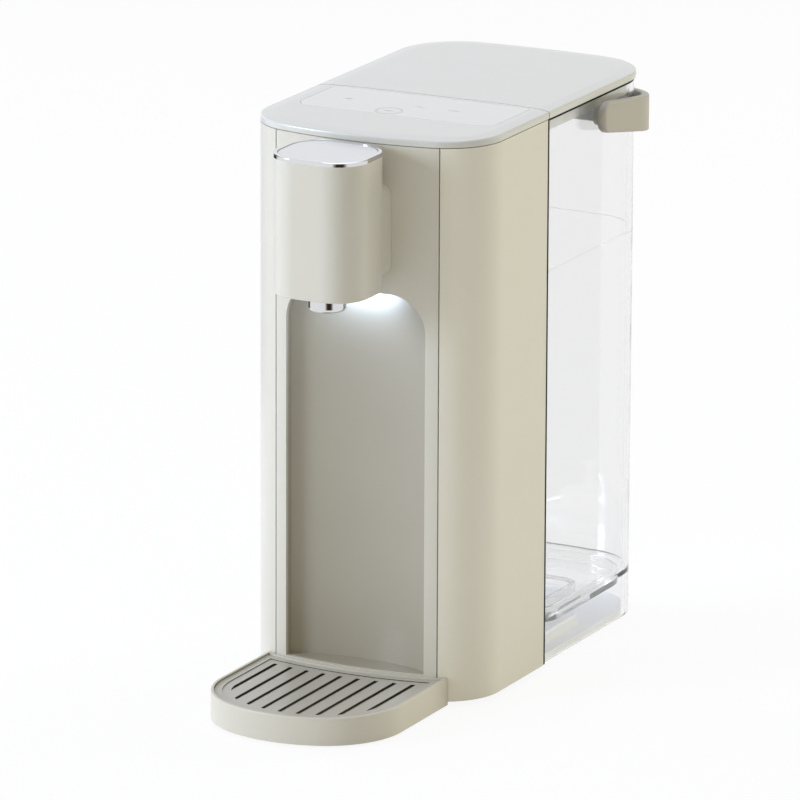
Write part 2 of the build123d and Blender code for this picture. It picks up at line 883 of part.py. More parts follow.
# Spout head: hollow column with a closed foot
with BuildPart() as spout_head:
    with BuildSketch(Plane.XY.offset(spout_bottom)):
        add(spout_plan())
    extrude(amount=spout_top - spout_bottom)
    fillet(spout_head.edges().group_by(Axis.Z)[0], spout_edge)
    with BuildSketch(Plane.XY.offset(spout_floor)):
        add(spout_plan(spout_wall))
    extrude(amount=spout_top - spout_floor, mode=Mode.SUBTRACT)
    with BuildSketch(Plane.XY.offset(spout_bottom)):
        with Locations((0, spout_y)):
            Circle(nozzle_stem_radius + part_gap)
    extrude(amount=spout_floor - spout_bottom, mode=Mode.SUBTRACT)
    with BuildSketch(Plane.XZ.offset(-spout_y)):
        with Locations((0, hose_level)):
            Circle(neck_bore)
        with Locations(*spout_screw_spots):
            Circle(screw_radius + screw_gap)
    extrude(amount=-spout_depth, mode=Mode.SUBTRACT)
spout_head.part.label = "spout_head"
export_step(spout_head.part, "parts/spout_head.step")

# Spout neck: block between head and body, with a spigot through the front panel
with BuildPart() as spout_neck:
    with BuildSketch(Plane.XZ.offset(-spout_y)):
        with Locations((0, hose_level)):
            RectangleRounded(neck_width, neck_height, neck_corner)
    extrude(amount=-spout_reach - front_bulge)
    with BuildSketch(Plane.XY.offset(neck_bottom)):
        add(body_plan(-touch_gap))
    extrude(amount=neck_height, mode=Mode.SUBTRACT)
    with BuildSketch(Plane.XZ.offset(-spout_y)):
        with Locations((0, hose_level)):
            Circle(spigot_radius)
    extrude(amount=-spout_reach - shell_wall - spigot_length)
    with BuildSketch(Plane.XY.offset(neck_bottom)):
        add(spout_plan(-touch_gap))
    extrude(amount=neck_height, mode=Mode.SUBTRACT)
    with BuildSketch(Plane.XZ.offset(-spout_y)):
        with Locations((0, hose_level)):
            Circle(neck_bore)
        with Locations(*spout_screw_spots):
            Circle(screw_radius + screw_gap)
        with Locations(*neck_screw_spots):
            Circle(screw_radius + screw_gap)
    extrude(amount=-far, mode=Mode.SUBTRACT)
spout_neck.part.label = "spout_neck"
export_step(spout_neck.part, "parts/spout_neck.step")

# Chrome ring: trim round the head's top, with a ledge for the cap and a spigot into the head
with BuildPart() as spout_ring:
    with BuildSketch(Plane.XY.offset(spout_top)):
        add(spout_plan())
    extrude(amount=ring_height)
    fillet(spout_ring.edges().group_by(Axis.Z)[-1], ring_edge)
    with BuildSketch(Plane.XY.offset(spout_top - ring_spigot)):
        add(spout_plan(spout_wall + part_gap))
    extrude(amount=ring_spigot)
    with BuildSketch(Plane.XY.offset(spout_top - ring_spigot)):
        add(spout_plan(ring_width + ring_ledge))
    extrude(amount=ring_spigot + ledge_thickness, mode=Mode.SUBTRACT)
    with BuildSketch(Plane.XY.offset(spout_top + ledge_thickness)):
        add(spout_plan(ring_width))
    extrude(amount=ring_height, mode=Mode.SUBTRACT)
spout_ring.part.label = "spout_ring"
export_step(spout_ring.part, "parts/spout_ring.step")

# Cap: pearly plate inside the ring
with BuildPart() as spout_cap:
    with BuildSketch(Plane.XY.offset(spout_top + ledge_thickness)):
        add(spout_plan(ring_width + part_gap))
    extrude(amount=ring_height - ledge_thickness - cap_recess)
    fillet(spout_cap.edges().group_by(Axis.Z)[-1], cap_edge)
spout_cap.part.label = "spout_cap"
export_step(spout_cap.part, "parts/spout_cap.step")

# Nozzle: chromed mouth below the head, its stem up through the head's floor
with BuildPart() as nozzle:
    with BuildSketch(Plane.XY.offset(spout_bottom - nozzle_drop)):
        with Locations((0, spout_y)):
            Circle(nozzle_radius)
    extrude(amount=nozzle_drop)
    fillet(nozzle.edges().group_by(Axis.Z)[0], nozzle_edge)
    with BuildSketch(Plane.XY.offset(spout_bottom)):
        with Locations((0, spout_y)):
            Circle(nozzle_stem_radius)
    extrude(amount=nozzle_stem_height)
    with BuildSketch(Plane.XY.offset(spout_bottom - nozzle_drop)):
        with Locations((0, spout_y)):
            Circle(nozzle_bore)
    extrude(amount=nozzle_drop + nozzle_stem_height, mode=Mode.SUBTRACT)
nozzle.part.label = "nozzle"
export_step(nozzle.part, "parts/nozzle.step")

# Nozzle insert: silicone outlet pushed into the nozzle's bore
with BuildPart() as nozzle_insert:
    with BuildSketch(Plane.XY.offset(spout_bottom - nozzle_drop + insert_recess)):
        with Locations((0, spout_y)):
            Circle(nozzle_bore - touch_gap)
            Circle(outlet_bore, mode=Mode.SUBTRACT)
    extrude(amount=insert_height)
nozzle_insert.part.label = "nozzle_insert"
export_step(nozzle_insert.part, "parts/nozzle_insert.step")

# Nozzle nut, tightened on the stem inside the head
with BuildPart() as nozzle_nut:
    with BuildSketch(Plane.XY.offset(spout_floor)):
        with Locations((0, spout_y)):
            RegularPolygon(nut_across / 2, 6, major_radius=False)
            Circle(nozzle_stem_radius + touch_gap, mode=Mode.SUBTRACT)
    extrude(amount=nut_height)
nozzle_nut.part.label = "nozzle_nut"
export_step(nozzle_nut.part, "parts/nozzle_nut.step")

# Outlet chamber: calms the flow above the nozzle, fed from behind
chamber_bottom = spout_bottom + nozzle_stem_height
chamber_height = spout_top - chamber_headroom - chamber_bottom
with BuildPart() as outlet_chamber:
    with BuildSketch(Plane.XY.offset(chamber_bottom)):
        with Locations((0, spout_y)):
            Circle(chamber_radius)
    extrude(amount=chamber_height)
    fillet(outlet_chamber.edges().group_by(Axis.Z)[-1], chamber_wall)
    with BuildSketch(Plane.XZ.offset(-spout_y)):
        with Locations((0, hose_level)):
            Circle(hose_radius)
    extrude(amount=-chamber_radius - port_length)
    with BuildSketch(Plane.XY.offset(chamber_bottom + chamber_wall)):
        with Locations((0, spout_y)):
            Circle(chamber_radius - chamber_wall)
    extrude(amount=chamber_height - 2 * chamber_wall, mode=Mode.SUBTRACT)
    with BuildSketch(Plane.XY.offset(chamber_bottom)):
        with Locations((0, spout_y)):
            Circle(nozzle_bore)
    extrude(amount=chamber_wall, mode=Mode.SUBTRACT)
    with BuildSketch(Plane.XZ.offset(-spout_y)):
        with Locations((0, hose_level)):
            Circle(hose_bore)
    extrude(amount=-chamber_radius - port_length, mode=Mode.SUBTRACT)
outlet_chamber.part.label = "outlet_chamber"
export_step(outlet_chamber.part, "parts/outlet_chamber.step")

# Drip tray: dished, with a ledge for the grate and a tongue that slides into the base
with BuildPart() as drip_tray:
    with BuildSketch(Plane.XY.offset(tray_bottom)):
        add(tray_plan(0))
    extrude(amount=tray_top - tray_bottom)
    fillet(drip_tray.edges().group_by(Axis.Z)[-1], tray_edge)
    with BuildSketch(Plane.XY.offset(tongue_bottom)):
        with Locations((0, front_y + (tongue_length - tray_ledge) / 2)):
            Rectangle(tongue_width, tongue_length + tray_ledge)
    extrude(amount=tongue_thickness)
    with BuildSketch(Plane.XY.offset(tray_bottom + tray_floor)):
        add(tray_plan(tray_rim + tray_ledge))
    extrude(amount=tray_top, mode=Mode.SUBTRACT)
    with BuildSketch(Plane.XY.offset(tray_top - grate_drop - grate_thickness)):
        add(tray_plan(tray_rim))
    extrude(amount=tray_top, mode=Mode.SUBTRACT)
drip_tray.part.label = "drip_tray"
export_step(drip_tray.part, "parts/drip_tray.step")

# Drip grate: slotted plate that lies on the tray's ledge, slightly dished
with BuildPart() as drip_grate:
    with BuildSketch(Plane.XY.offset(tray_top - grate_drop - grate_thickness)):
        add(tray_plan(tray_rim + fit_gap))
    extrude(amount=grate_thickness)
    with BuildSketch(Plane.XY.offset(tray_top - grate_drop)):
        add(tray_plan(tray_rim + fit_gap + grate_border))
    extrude(amount=-grate_dish, mode=Mode.SUBTRACT)
    with BuildSketch(Plane.XY.offset(tray_top - grate_drop - grate_thickness)):
        with Locations((0, front_y - tray_reach / 2)):
            with GridLocations(slot_pitch, 0, slot_count, 1):
                Rectangle(slot_width, tray_reach)
        add(tray_plan(slot_margin), mode=Mode.INTERSECT)
    extrude(amount=grate_thickness, mode=Mode.SUBTRACT)
drip_grate.part.label = "drip_grate"
export_step(drip_grate.part, "parts/drip_grate.step")

# Tank: clear moulding with a skirt round the pedestal and a stepped floor
tank_bottom = foot_height + tank_skirt_gap
tank_top = cover_bottom - lid_line_gap
floor_underside = tank_floor_top - tank_wall
well_underside = dock_top + socket_flange_height + fit_gap
well_top = well_underside + tank_wall
sump_top = tank_floor_top - sump_depth
sump_width = body_width - 2 * sump_side
sump_length = rear_y - sump_rear - seam_y - sump_front


def sump_face(grow):
    """Plan of the shallow sump in the tank's floor, rounder at the back, grown by grow."""
    with BuildSketch() as face:
        with Locations((0, seam_y + sump_front + sump_length / 2)):
            Rectangle(sump_width + 2 * grow, sump_length + 2 * grow)
        fillet(face.vertices().sort_by(Axis.Y)[:2], sump_front_corner + grow)
        fillet(face.vertices().sort_by(Axis.Y)[-2:], sump_rear_corner + grow)
    return face.sketch


def well_face(grow):
    """Plan of the deep well round the valve, grown by grow."""
    with BuildSketch() as face:
        with Locations((0, seam_y + sump_front + well_front + well_length / 2)):
            RectangleRounded(well_width + 2 * grow, well_length + 2 * grow, well_corner + grow)
    return face.sketch


with BuildPart() as tank_body:
    with BuildSketch(Plane.XY.offset(tank_bottom)):
        add(tank_plan(0))
    extrude(amount=tank_top - tank_bottom)
    with BuildSketch(Plane.XY.offset(tank_bottom)):
        add(tank_plan(tank_wall))
        with Locations((0, seam_y)):
            Rectangle(body_width - 2 * (tank_inset + tank_wall), tank_seam_depth / 2)
    extrude(amount=floor_underside - tank_bottom, mode=Mode.SUBTRACT)
    with BuildSketch(Plane.XY.offset(sump_top - tank_wall)):
        add(sump_face(tank_wall))
    extrude(amount=tank_floor_top - sump_top)
    with BuildSketch(Plane.XY.offset(well_underside)):
        add(well_face(tank_wall))
    extrude(amount=sump_top - well_underside)
    with BuildSketch(Plane.XY.offset(tank_floor_top)):
        add(tank_plan(tank_wall))
    extrude(amount=tank_top - tank_floor_top, mode=Mode.SUBTRACT)
    with BuildSketch(Plane.XY.offset(sump_top)):
        add(sump_face(0))
    extrude(amount=sump_depth, mode=Mode.SUBTRACT)
    with BuildSketch(Plane.XY.offset(well_top)):
        add(well_face(0))
    extrude(amount=sump_top - well_top, mode=Mode.SUBTRACT)
    with BuildSketch(Plane.XY.offset(well_underside)):
        with Locations((0, valve_y)):
            Circle(valve_radius + touch_gap)
    extrude(amount=tank_wall, mode=Mode.SUBTRACT)
    with BuildSketch(Plane.XY.offset(fill_line_height)):
        add(tank_plan(tank_wall))
        add(tank_plan(tank_wall + fill_line_depth), mode=Mode.SUBTRACT)
    extrude(amount=fill_line_width)
tank_body.part.label = "tank_body"
export_step(tank_body.part, "parts/tank_body.step")

# Tank lid: rear part of the top, with a plug that drops into the tank
with BuildPart() as tank_lid:
    add(top_blank.part)
    with BuildSketch(Plane.XY.offset(cover_bottom)):
        add(behind_lid_seam(lid_seam_gap / 2))
    extrude(amount=cover_thickness, mode=Mode.INTERSECT)
    with BuildSketch(Plane.XY.offset(cover_bottom)):
        add(tank_plan(tank_wall + lid_plug_gap))
        add(tank_plan(tank_wall + lid_plug_gap + lid_plug_wall), mode=Mode.SUBTRACT)
    extrude(amount=-lid_plug_depth)
tank_lid.part.label = "tank_lid"
export_step(tank_lid.part, "parts/tank_lid.step")

# Lid gasket: flat black ring round the plug, between the lid and the tank's rim
with BuildPart() as lid_gasket:
    with BuildSketch(Plane.XY.offset(tank_top + touch_gap)):
        add(tank_plan(part_gap))
        add(tank_plan(tank_wall + lid_plug_gap - part_gap), mode=Mode.SUBTRACT)
    extrude(amount=cover_bottom - tank_top - touch_gap)
lid_gasket.part.label = "lid_gasket"
export_step(lid_gasket.part, "parts/lid_gasket.step")

# Handle: bail that hangs a little down behind, its ends rounded, with a pin inside each
pin_reach = pivot_boss_bore + fit_gap - part_gap
rear_reach = rear_y + handle_gap + handle_thickness - pivot_y
bail_front = pivot_y - handle_end_radius - handle_overrun
with BuildPart() as tank_handle:
    with BuildSketch() as bail_plan:
        add(rear_half(body_ring(-handle_gap - handle_thickness, -handle_gap), bail_front))
        ends = bail_plan.vertices().group_by(Axis.Y)[0].sort_by(Axis.X)
        fillet([ends[0], ends[-1]], handle_roll)
    extrude(amount=body_height)
    with BuildSketch(Plane.YZ):
        with Locations((pivot_y, pivot_height)):
            Circle(handle_end_radius)
        with Locations((pivot_y + rear_reach, pivot_height - rear_reach * tan(radians(handle_tilt)))):
            Circle(handle_rear_radius)
        make_hull()
    extrude(amount=far, both=True, mode=Mode.INTERSECT)
    fillet(tank_handle.edges().filter_by(GeomType.LINE, reverse=True), handle_edge)
    for side in (-1, 1):
        with BuildSketch(Plane.YZ.offset(side * (half_width + handle_gap))):
            with Locations((pivot_y, pivot_height)):
                Circle(pivot_pin_radius)
        extrude(amount=-side * pin_reach)
tank_handle.part.label = "tank_handle"
export_step(tank_handle.part, "parts/tank_handle.step")

# Handle bosses: discs welded to the tank's sides, with blind bores for the handle's pins
boss_face = half_width + handle_gap - fit_gap
with BuildPart() as handle_bosses:
    for side in (-1, 1):
        with BuildSketch(Plane.YZ.offset(side * (half_width - tank_inset))):
            with Locations((pivot_y, pivot_height)):
                Circle(pivot_boss_radius)
        extrude(amount=side * (boss_face - half_width + tank_inset))
        with BuildSketch(Plane.YZ.offset(side * boss_face)):
            with Locations((pivot_y, pivot_height)):
                Circle(pivot_pin_radius + running_gap)
        extrude(amount=-side * pivot_boss_bore, mode=Mode.SUBTRACT)
handle_bosses.part.label = "handle_bosses"
export_step(handle_bosses.part, "parts/handle_bosses.step")

# Valve housing: flanged into the well's floor, its tail down in the dock
valve_bottom = dock_top - valve_tail
seat_top = valve_bottom + valve_seat_drop + seat_thickness
poppet_bottom = seat_top + valve_lift + seal_thickness
spring_bottom = poppet_bottom + poppet_thickness
cage_bottom = spring_bottom + spring_height
with BuildPart() as valve_housing:
    with BuildSketch(Plane.XY.offset(valve_bottom)):
        with Locations((0, valve_y)):
            Circle(valve_radius)
    extrude(amount=well_top - valve_bottom)
    with BuildSketch(Plane.XY.offset(well_top)):
        with Locations((0, valve_y)):
            Circle(valve_flange)
    extrude(amount=valve_flange_height)
    with BuildSketch(Plane.XY.offset(well_top)):
        with Locations((0, valve_y)):
            Circle(valve_neck_radius)
    extrude(amount=cage_bottom - well_top)
    with BuildSketch(Plane.XY.offset(seat_top)):
        with Locations((0, valve_y)):
            Circle(valve_bore)
    extrude(amount=cage_bottom - seat_top, mode=Mode.SUBTRACT)
    with BuildSketch(Plane.XY.offset(valve_bottom)):
        with Locations((0, valve_y)):
            Circle(seat_bore)
    extrude(amount=seat_top - valve_bottom, mode=Mode.SUBTRACT)
    with BuildSketch(Plane.XY.offset(valve_bottom)):
        with Locations((0, valve_y)):
            Circle(valve_bore)
    extrude(amount=valve_seat_drop, mode=Mode.SUBTRACT)
valve_housing.part.label = "valve_housing"
export_step(valve_housing.part, "parts/valve_housing.step")

# Poppet: disc on a stem, held off its seat by the dock's pin
pin_top = seat_top - seat_thickness / 2
with BuildPart() as valve_poppet:
    with BuildSketch(Plane.XY.offset(poppet_bottom)):
        with Locations((0, valve_y)):
            Circle(poppet_radius)
    extrude(amount=poppet_thickness)
    with BuildSketch(Plane.XY.offset(pin_top)):
        with Locations((0, valve_y)):
            Circle(stem_radius)
    extrude(amount=cage_bottom + cage_thickness - pin_top)
valve_poppet.part.label = "valve_poppet"
export_step(valve_poppet.part, "parts/valve_poppet.step")

# Poppet seal: rubber washer under the disc
with BuildPart() as poppet_seal:
    with BuildSketch(Plane.XY.offset(poppet_bottom - seal_thickness)):
        with Locations((0, valve_y)):
            Circle(poppet_radius - part_gap)
            Circle(stem_radius + touch_gap, mode=Mode.SUBTRACT)
    extrude(amount=seal_thickness)
poppet_seal.part.label = "poppet_seal"
export_step(poppet_seal.part, "parts/poppet_seal.step")

# Valve spring: coil between the disc and the cage
spring_start = spring_bottom + spring_wire + touch_gap
with BuildPart() as valve_spring:
    with BuildLine(Plane((0, valve_y, spring_start))) as coil:
        Helix((spring_height - 2 * spring_wire - 2 * touch_gap) / spring_turns,
              spring_height - 2 * spring_wire - 2 * touch_gap, spring_radius)
    with BuildSketch(Plane(coil.line @ 0, z_dir=coil.line % 0)):
        Circle(spring_wire)
    sweep()
valve_spring.part.label = "valve_spring"
export_step(valve_spring.part, "parts/valve_spring.step")

# Valve cage: cap over the housing that guides the stem and holds the spring
with BuildPart() as valve_cage:
    with BuildSketch(Plane.XY.offset(cage_bottom)):
        with Locations((0, valve_y)):
            Circle(valve_neck_radius)
            Circle(stem_radius + running_gap, mode=Mode.SUBTRACT)
            with PolarLocations(spring_radius + spring_wire, 4):
                Circle(spring_wire * 4, mode=Mode.SUBTRACT)
    extrude(amount=cage_thickness)
valve_cage.part.label = "valve_cage"
export_step(valve_cage.part, "parts/valve_cage.step")

# Inlet filter: slotted white dome over the valve
filter_bottom = well_top + valve_flange_height
with BuildPart() as inlet_filter:
    with BuildSketch(Plane.XY.offset(filter_bottom)):
        with Locations((0, valve_y)):
            Circle(filter_radius)
    with BuildSketch(Plane.XY.offset(filter_bottom + filter_height)):
        with Locations((0, valve_y)):
            Circle(filter_top_radius)
    loft()
    with BuildSketch(Plane.XY.offset(filter_bottom)):
        with Locations((0, valve_y)):
            Circle(filter_radius - filter_wall)
    with BuildSketch(Plane.XY.offset(filter_bottom + filter_height - filter_wall)):
        with Locations((0, valve_y)):
            Circle(filter_top_radius - filter_wall)
    loft(mode=Mode.SUBTRACT)
    with BuildSketch(Plane.XY.offset(filter_bottom + 3 * filter_wall)):
        with Locations((0, valve_y)):
            with PolarLocations(filter_radius / 2 + filter_top_radius / 2, filter_slots):
                Rectangle(filter_top_radius, filter_slot)
    extrude(amount=filter_height - 6 * filter_wall, mode=Mode.SUBTRACT)
inlet_filter.part.label = "inlet_filter"
export_step(inlet_filter.part, "parts/inlet_filter.step")

# Float guide: stem with a foot on the well's floor and a clip at its top
float_y = seam_y + float_setback
float_bottom = well_top + guide_foot_height + fit_gap
guide_top = float_bottom + float_height + float_travel + fit_gap
with BuildPart() as float_guide:
    with BuildSketch(Plane.XY.offset(well_top)):
        with Locations((-float_offset, float_y)):
            Circle(guide_foot_radius)
    extrude(amount=guide_foot_height)
    with BuildSketch(Plane.XY.offset(well_top)):
        with Locations((-float_offset, float_y)):
            Circle(guide_radius)
    extrude(amount=guide_top - well_top)
    with BuildSketch(Plane.XY.offset(guide_top)):
        with Locations((-float_offset, float_y)):
            Circle(guide_clip_radius)
    extrude(amount=guide_clip)
float_guide.part.label = "float_guide"
export_step(float_guide.part, "parts/float_guide.step")

# Level float: hollow ring that rides up its guide as the tank fills
with BuildPart() as level_float:
    with BuildSketch(Plane.XY.offset(float_bottom)):
        with Locations((-float_offset, float_y)):
            Circle(float_radius)
    extrude(amount=float_height)
    fillet(level_float.edges(), 1)
    with BuildSketch(Plane.XY.offset(float_bottom)):
        with Locations((-float_offset, float_y)):
            Circle(guide_radius + fit_gap)
    extrude(amount=float_height, mode=Mode.SUBTRACT)
level_float.part.label = "level_float"
export_step(level_float.part, "parts/level_float.step")

# Dock socket: bowl that takes the valve's tail, with a pin to lift the poppet and a port forward
with BuildPart() as dock_socket:
    with BuildSketch(Plane.XY.offset(base_bottom + touch_gap)):
        with Locations((0, valve_y)):
            Circle(socket_radius)
    extrude(amount=dock_top - base_bottom - touch_gap)
    with BuildSketch(Plane.XY.offset(dock_top)):
        with Locations((0, valve_y)):
            Circle(socket_flange)
    extrude(amount=socket_flange_height)
    with BuildSketch(Plane.XZ.offset(-valve_y)):
        with Locations((0, hose_z)):
            Circle(hose_radius)
    extrude(amount=socket_radius + port_length)
    with BuildSketch(Plane.XY.offset(base_bottom + touch_gap + socket_floor)):
        with Locations((0, valve_y)):
            Circle(socket_bore)
    extrude(amount=dock_top + socket_flange_height - base_bottom, mode=Mode.SUBTRACT)
    with BuildSketch(Plane.XZ.offset(-valve_y)):
        with Locations((0, hose_z)):
            Circle(hose_bore)
    extrude(amount=socket_radius + port_length, mode=Mode.SUBTRACT)
    with BuildSketch(Plane.XY.offset(base_bottom + touch_gap)):
        with Locations((0, valve_y)):
            Circle(dock_pin_radius)
    extrude(amount=pin_top - base_bottom - 2 * touch_gap)
dock_socket.part.label = "dock_socket"
export_step(dock_socket.part, "parts/dock_socket.step")

# Dock seal: rubber ring inside the socket, round the valve's tail
with BuildPart() as dock_seal:
    with BuildSketch(Plane.XZ.offset(-valve_y)):
        with Locations((socket_bore - part_gap - ring_seal_wire, dock_top - 2 * ring_seal_wire)):
            Circle(ring_seal_wire)
    revolve(axis=Axis((0, valve_y, 0), (0, 0, 1)))
dock_seal.part.label = "dock_seal"
export_step(dock_seal.part, "parts/dock_seal.step")

# Pump damper: rubber block between pump and base
with BuildPart() as pump_damper:
    with BuildSketch(Plane.XY.offset(base_top)):
        with Locations((heater_side, heater_y)):
            RectangleRounded(damper_size, damper_size, damper_corner)
    extrude(amount=damper_height)
pump_damper.part.label = "pump_damper"
export_step(pump_damper.part, "parts/pump_damper.step")

# Pump housing: round chamber with an inlet port to the left and an outlet to the front
chamber_gap_radius = pump_radius - pump_wall
with BuildPart() as pump_housing:
    with BuildSketch(Plane.XY.offset(pump_bottom)):
        with Locations((heater_side, heater_y)):
            Circle(pump_radius)
    extrude(amount=pump_height)
    with BuildSketch(Plane.YZ.offset(heater_side)):
        with Locations((heater_y, port_z)):
            Circle(hose_radius)
    extrude(amount=-pump_radius - port_length)
    with BuildSketch(Plane.XZ.offset(-heater_y)):
        with Locations((heater_side, port_z)):
            Circle(hose_radius)
    extrude(amount=pump_radius + port_length)
    with BuildSketch(Plane.XY.offset(pump_bottom + pump_wall)):
        with Locations((heater_side, heater_y)):
            Circle(chamber_gap_radius)
    extrude(amount=pump_height - 2 * pump_wall, mode=Mode.SUBTRACT)
    with BuildSketch(Plane.XY.offset(pump_bottom + pump_wall)):
        with Locations((heater_side, heater_y)):
            Circle(shaft_radius + running_gap)
    extrude(amount=pump_height, mode=Mode.SUBTRACT)
    with BuildSketch(Plane.YZ.offset(heater_side)):
        with Locations((heater_y, port_z)):
            Circle(hose_bore)
    extrude(amount=-pump_radius - port_length, mode=Mode.SUBTRACT)
    with BuildSketch(Plane.XZ.offset(-heater_y)):
        with Locations((heater_side, port_z)):
            Circle(hose_bore)
    extrude(amount=pump_radius + port_length, mode=Mode.SUBTRACT)
pump_housing.part.label = "pump_housing"
export_step(pump_housing.part, "parts/pump_housing.step")

# Impeller: hub, shaft and straight blades that turn inside the pump housing
blade_height = pump_height - 2 * pump_wall - 2 * impeller_gap
blade_reach = chamber_gap_radius - impeller_gap
with BuildPart() as pump_impeller:
    with BuildSketch(Plane.XY.offset(pump_bottom + pump_wall + impeller_gap)):
        with Locations((heater_side, heater_y)):
            Circle(impeller_hub)
            with PolarLocations(0, impeller_blades):
                with Locations((blade_reach / 2, 0)):
                    Rectangle(blade_reach, impeller_blade)
    extrude(amount=blade_height)
    with BuildSketch(Plane.XY.offset(pump_bottom + pump_wall + impeller_gap)):
        with Locations((heater_side, heater_y)):
            Circle(shaft_radius)
    extrude(amount=pump_height - pump_wall - impeller_gap + shaft_reach - fit_gap)
pump_impeller.part.label = "pump_impeller"
export_step(pump_impeller.part, "parts/pump_impeller.step")

# Pump motor, on top of the housing, bored for the shaft
with BuildPart() as pump_motor:
    with BuildSketch(Plane.XY.offset(pump_top)):
        with Locations((heater_side, heater_y)):
            Circle(motor_radius)
    extrude(amount=motor_height)
    fillet(pump_motor.edges().group_by(Axis.Z)[-1], 1.5)
    with BuildSketch(Plane.XY.offset(pump_top)):
        with Locations((heater_side, heater_y)):
            Circle(shaft_radius + running_gap)
    extrude(amount=shaft_reach, mode=Mode.SUBTRACT)
pump_motor.part.label = "pump_motor"
export_step(pump_motor.part, "parts/pump_motor.step")

# Flow meter in the feed between pump and heater
feed_y = heater_y - feed_offset
with BuildPart() as flow_meter:
    with BuildSketch(Plane.XY.offset(meter_bottom)):
        with Locations((heater_side, feed_y)):
            Circle(meter_radius)
    extrude(amount=meter_height)
    chamfer(flow_meter.edges(), 1)
    with BuildSketch(Plane.XY.offset(meter_bottom)):
        with Locations((heater_side, feed_y)):
            Circle(hose_bore)
    extrude(amount=meter_height, mode=Mode.SUBTRACT)
flow_meter.part.label = "flow_meter"
export_step(flow_meter.part, "parts/flow_meter.step")

# Heater tube: steel tube that heats the flow as it rises
with BuildPart() as heater_tube:
    with BuildSketch(Plane.XY.offset(heater_bottom)):
        with Locations((heater_side, heater_y)):
            Circle(heater_radius)
            Circle(heater_radius - heater_wall, mode=Mode.SUBTRACT)
    extrude(amount=heater_height)
heater_tube.part.label = "heater_tube"
export_step(heater_tube.part, "parts/heater_tube.step")

# Heater inlet cap, with a port to the front
cap_radius = heater_radius + heater_cap_wall
inlet_cap_bottom = heater_bottom + heater_cap_overlap - heater_cap_height
heater_port_z = heater_bottom - heater_port_drop
with BuildPart() as heater_inlet_cap:
    with BuildSketch(Plane.XY.offset(inlet_cap_bottom)):
        with Locations((heater_side, heater_y)):
            Circle(cap_radius)
    extrude(amount=heater_cap_height)
    with BuildSketch(Plane.XZ.offset(-heater_y)):
        with Locations((heater_side, heater_port_z)):
            Circle(hose_radius)
    extrude(amount=cap_radius + port_length)
    with BuildSketch(Plane.XY.offset(heater_bottom)):
        with Locations((heater_side, heater_y)):
            Circle(heater_radius + touch_gap)
    extrude(amount=heater_cap_height, mode=Mode.SUBTRACT)
    with BuildSketch(Plane.XY.offset(heater_port_z)):
        with Locations((heater_side, heater_y)):
            Circle(2 * hose_bore)
    extrude(amount=heater_port_drop, mode=Mode.SUBTRACT)
    with BuildSketch(Plane.XZ.offset(-heater_y)):
        with Locations((heater_side, heater_port_z)):
            Circle(hose_bore)
    extrude(amount=cap_radius + port_length, mode=Mode.SUBTRACT)
heater_inlet_cap.part.label = "heater_inlet_cap"
export_step(heater_inlet_cap.part, "parts/heater_inlet_cap.step")

# Heater outlet cap, with a port upwards
outlet_cap_top = heater_top - heater_cap_overlap + heater_cap_height
with BuildPart() as heater_outlet_cap:
    with BuildSketch(Plane.XY.offset(heater_top - heater_cap_overlap)):
        with Locations((heater_side, heater_y)):
            Circle(cap_radius)
    extrude(amount=heater_cap_height)
    with BuildSketch(Plane.XY.offset(outlet_cap_top)):
        with Locations((heater_side, heater_y)):
            Circle(hose_radius)
    extrude(amount=port_length)
    with BuildSketch(Plane.XY.offset(heater_top - heater_cap_overlap)):
        with Locations((heater_side, heater_y)):
            Circle(heater_radius + touch_gap)
    extrude(amount=heater_cap_overlap, mode=Mode.SUBTRACT)
    with BuildSketch(Plane.XY.offset(heater_top)):
        with Locations((heater_side, heater_y)):
            Circle(hose_bore)
    extrude(amount=heater_cap_height + port_length, mode=Mode.SUBTRACT)
heater_outlet_cap.part.label = "heater_outlet_cap"
export_step(heater_outlet_cap.part, "parts/heater_outlet_cap.step")

# Heater bands: two clamps round the tube, screwed to the bulkhead
band_outer = heater_radius + touch_gap + band_thickness
with BuildPart() as heater_bands:
    for level in band_levels:
        with BuildSketch(Plane.XY.offset(level - band_height / 2)):
            with Locations((heater_side, heater_y)):
                Circle(band_outer)
            with Locations((heater_side, heater_y + heater_stand / 2)):
                Rectangle(2 * band_outer, heater_stand)
            with Locations((heater_side, bulkhead_front - band_thickness / 2)):
                Rectangle(band_foot, band_thickness)
            with Locations((heater_side, heater_y)):
                Circle(heater_radius + touch_gap, mode=Mode.SUBTRACT)
            with Locations((heater_side, heater_y + (heater_stand - band_thickness) / 2)):
                Rectangle(2 * heater_radius, heater_stand - band_thickness, mode=Mode.SUBTRACT)
        extrude(amount=band_height)
    with BuildSketch(Plane.XZ.offset(-bulkhead_front)):
        with Locations(*band_screw_spots):
            Circle(screw_radius + screw_gap)
    extrude(amount=band_thickness, mode=Mode.SUBTRACT)
heater_bands.part.label = "heater_bands"
export_step(heater_bands.part, "parts/heater_bands.step")

# Thermal cutout, saddled on the front of the heater
with BuildPart() as thermal_cutout:
    with BuildSketch(Plane.XZ.offset(-heater_y)):
        with Locations((heater_side, cutout_level)):
            Circle(cutout_radius)
    extrude(amount=heater_radius + cutout_length)
    with BuildSketch(Plane.XY.offset(cutout_level - 2 * cutout_radius)):
        with Locations((heater_side, heater_y)):
            Circle(heater_radius + touch_gap)
    extrude(amount=4 * cutout_radius, mode=Mode.SUBTRACT)
thermal_cutout.part.label = "thermal_cutout"
export_step(thermal_cutout.part, "parts/thermal_cutout.step")

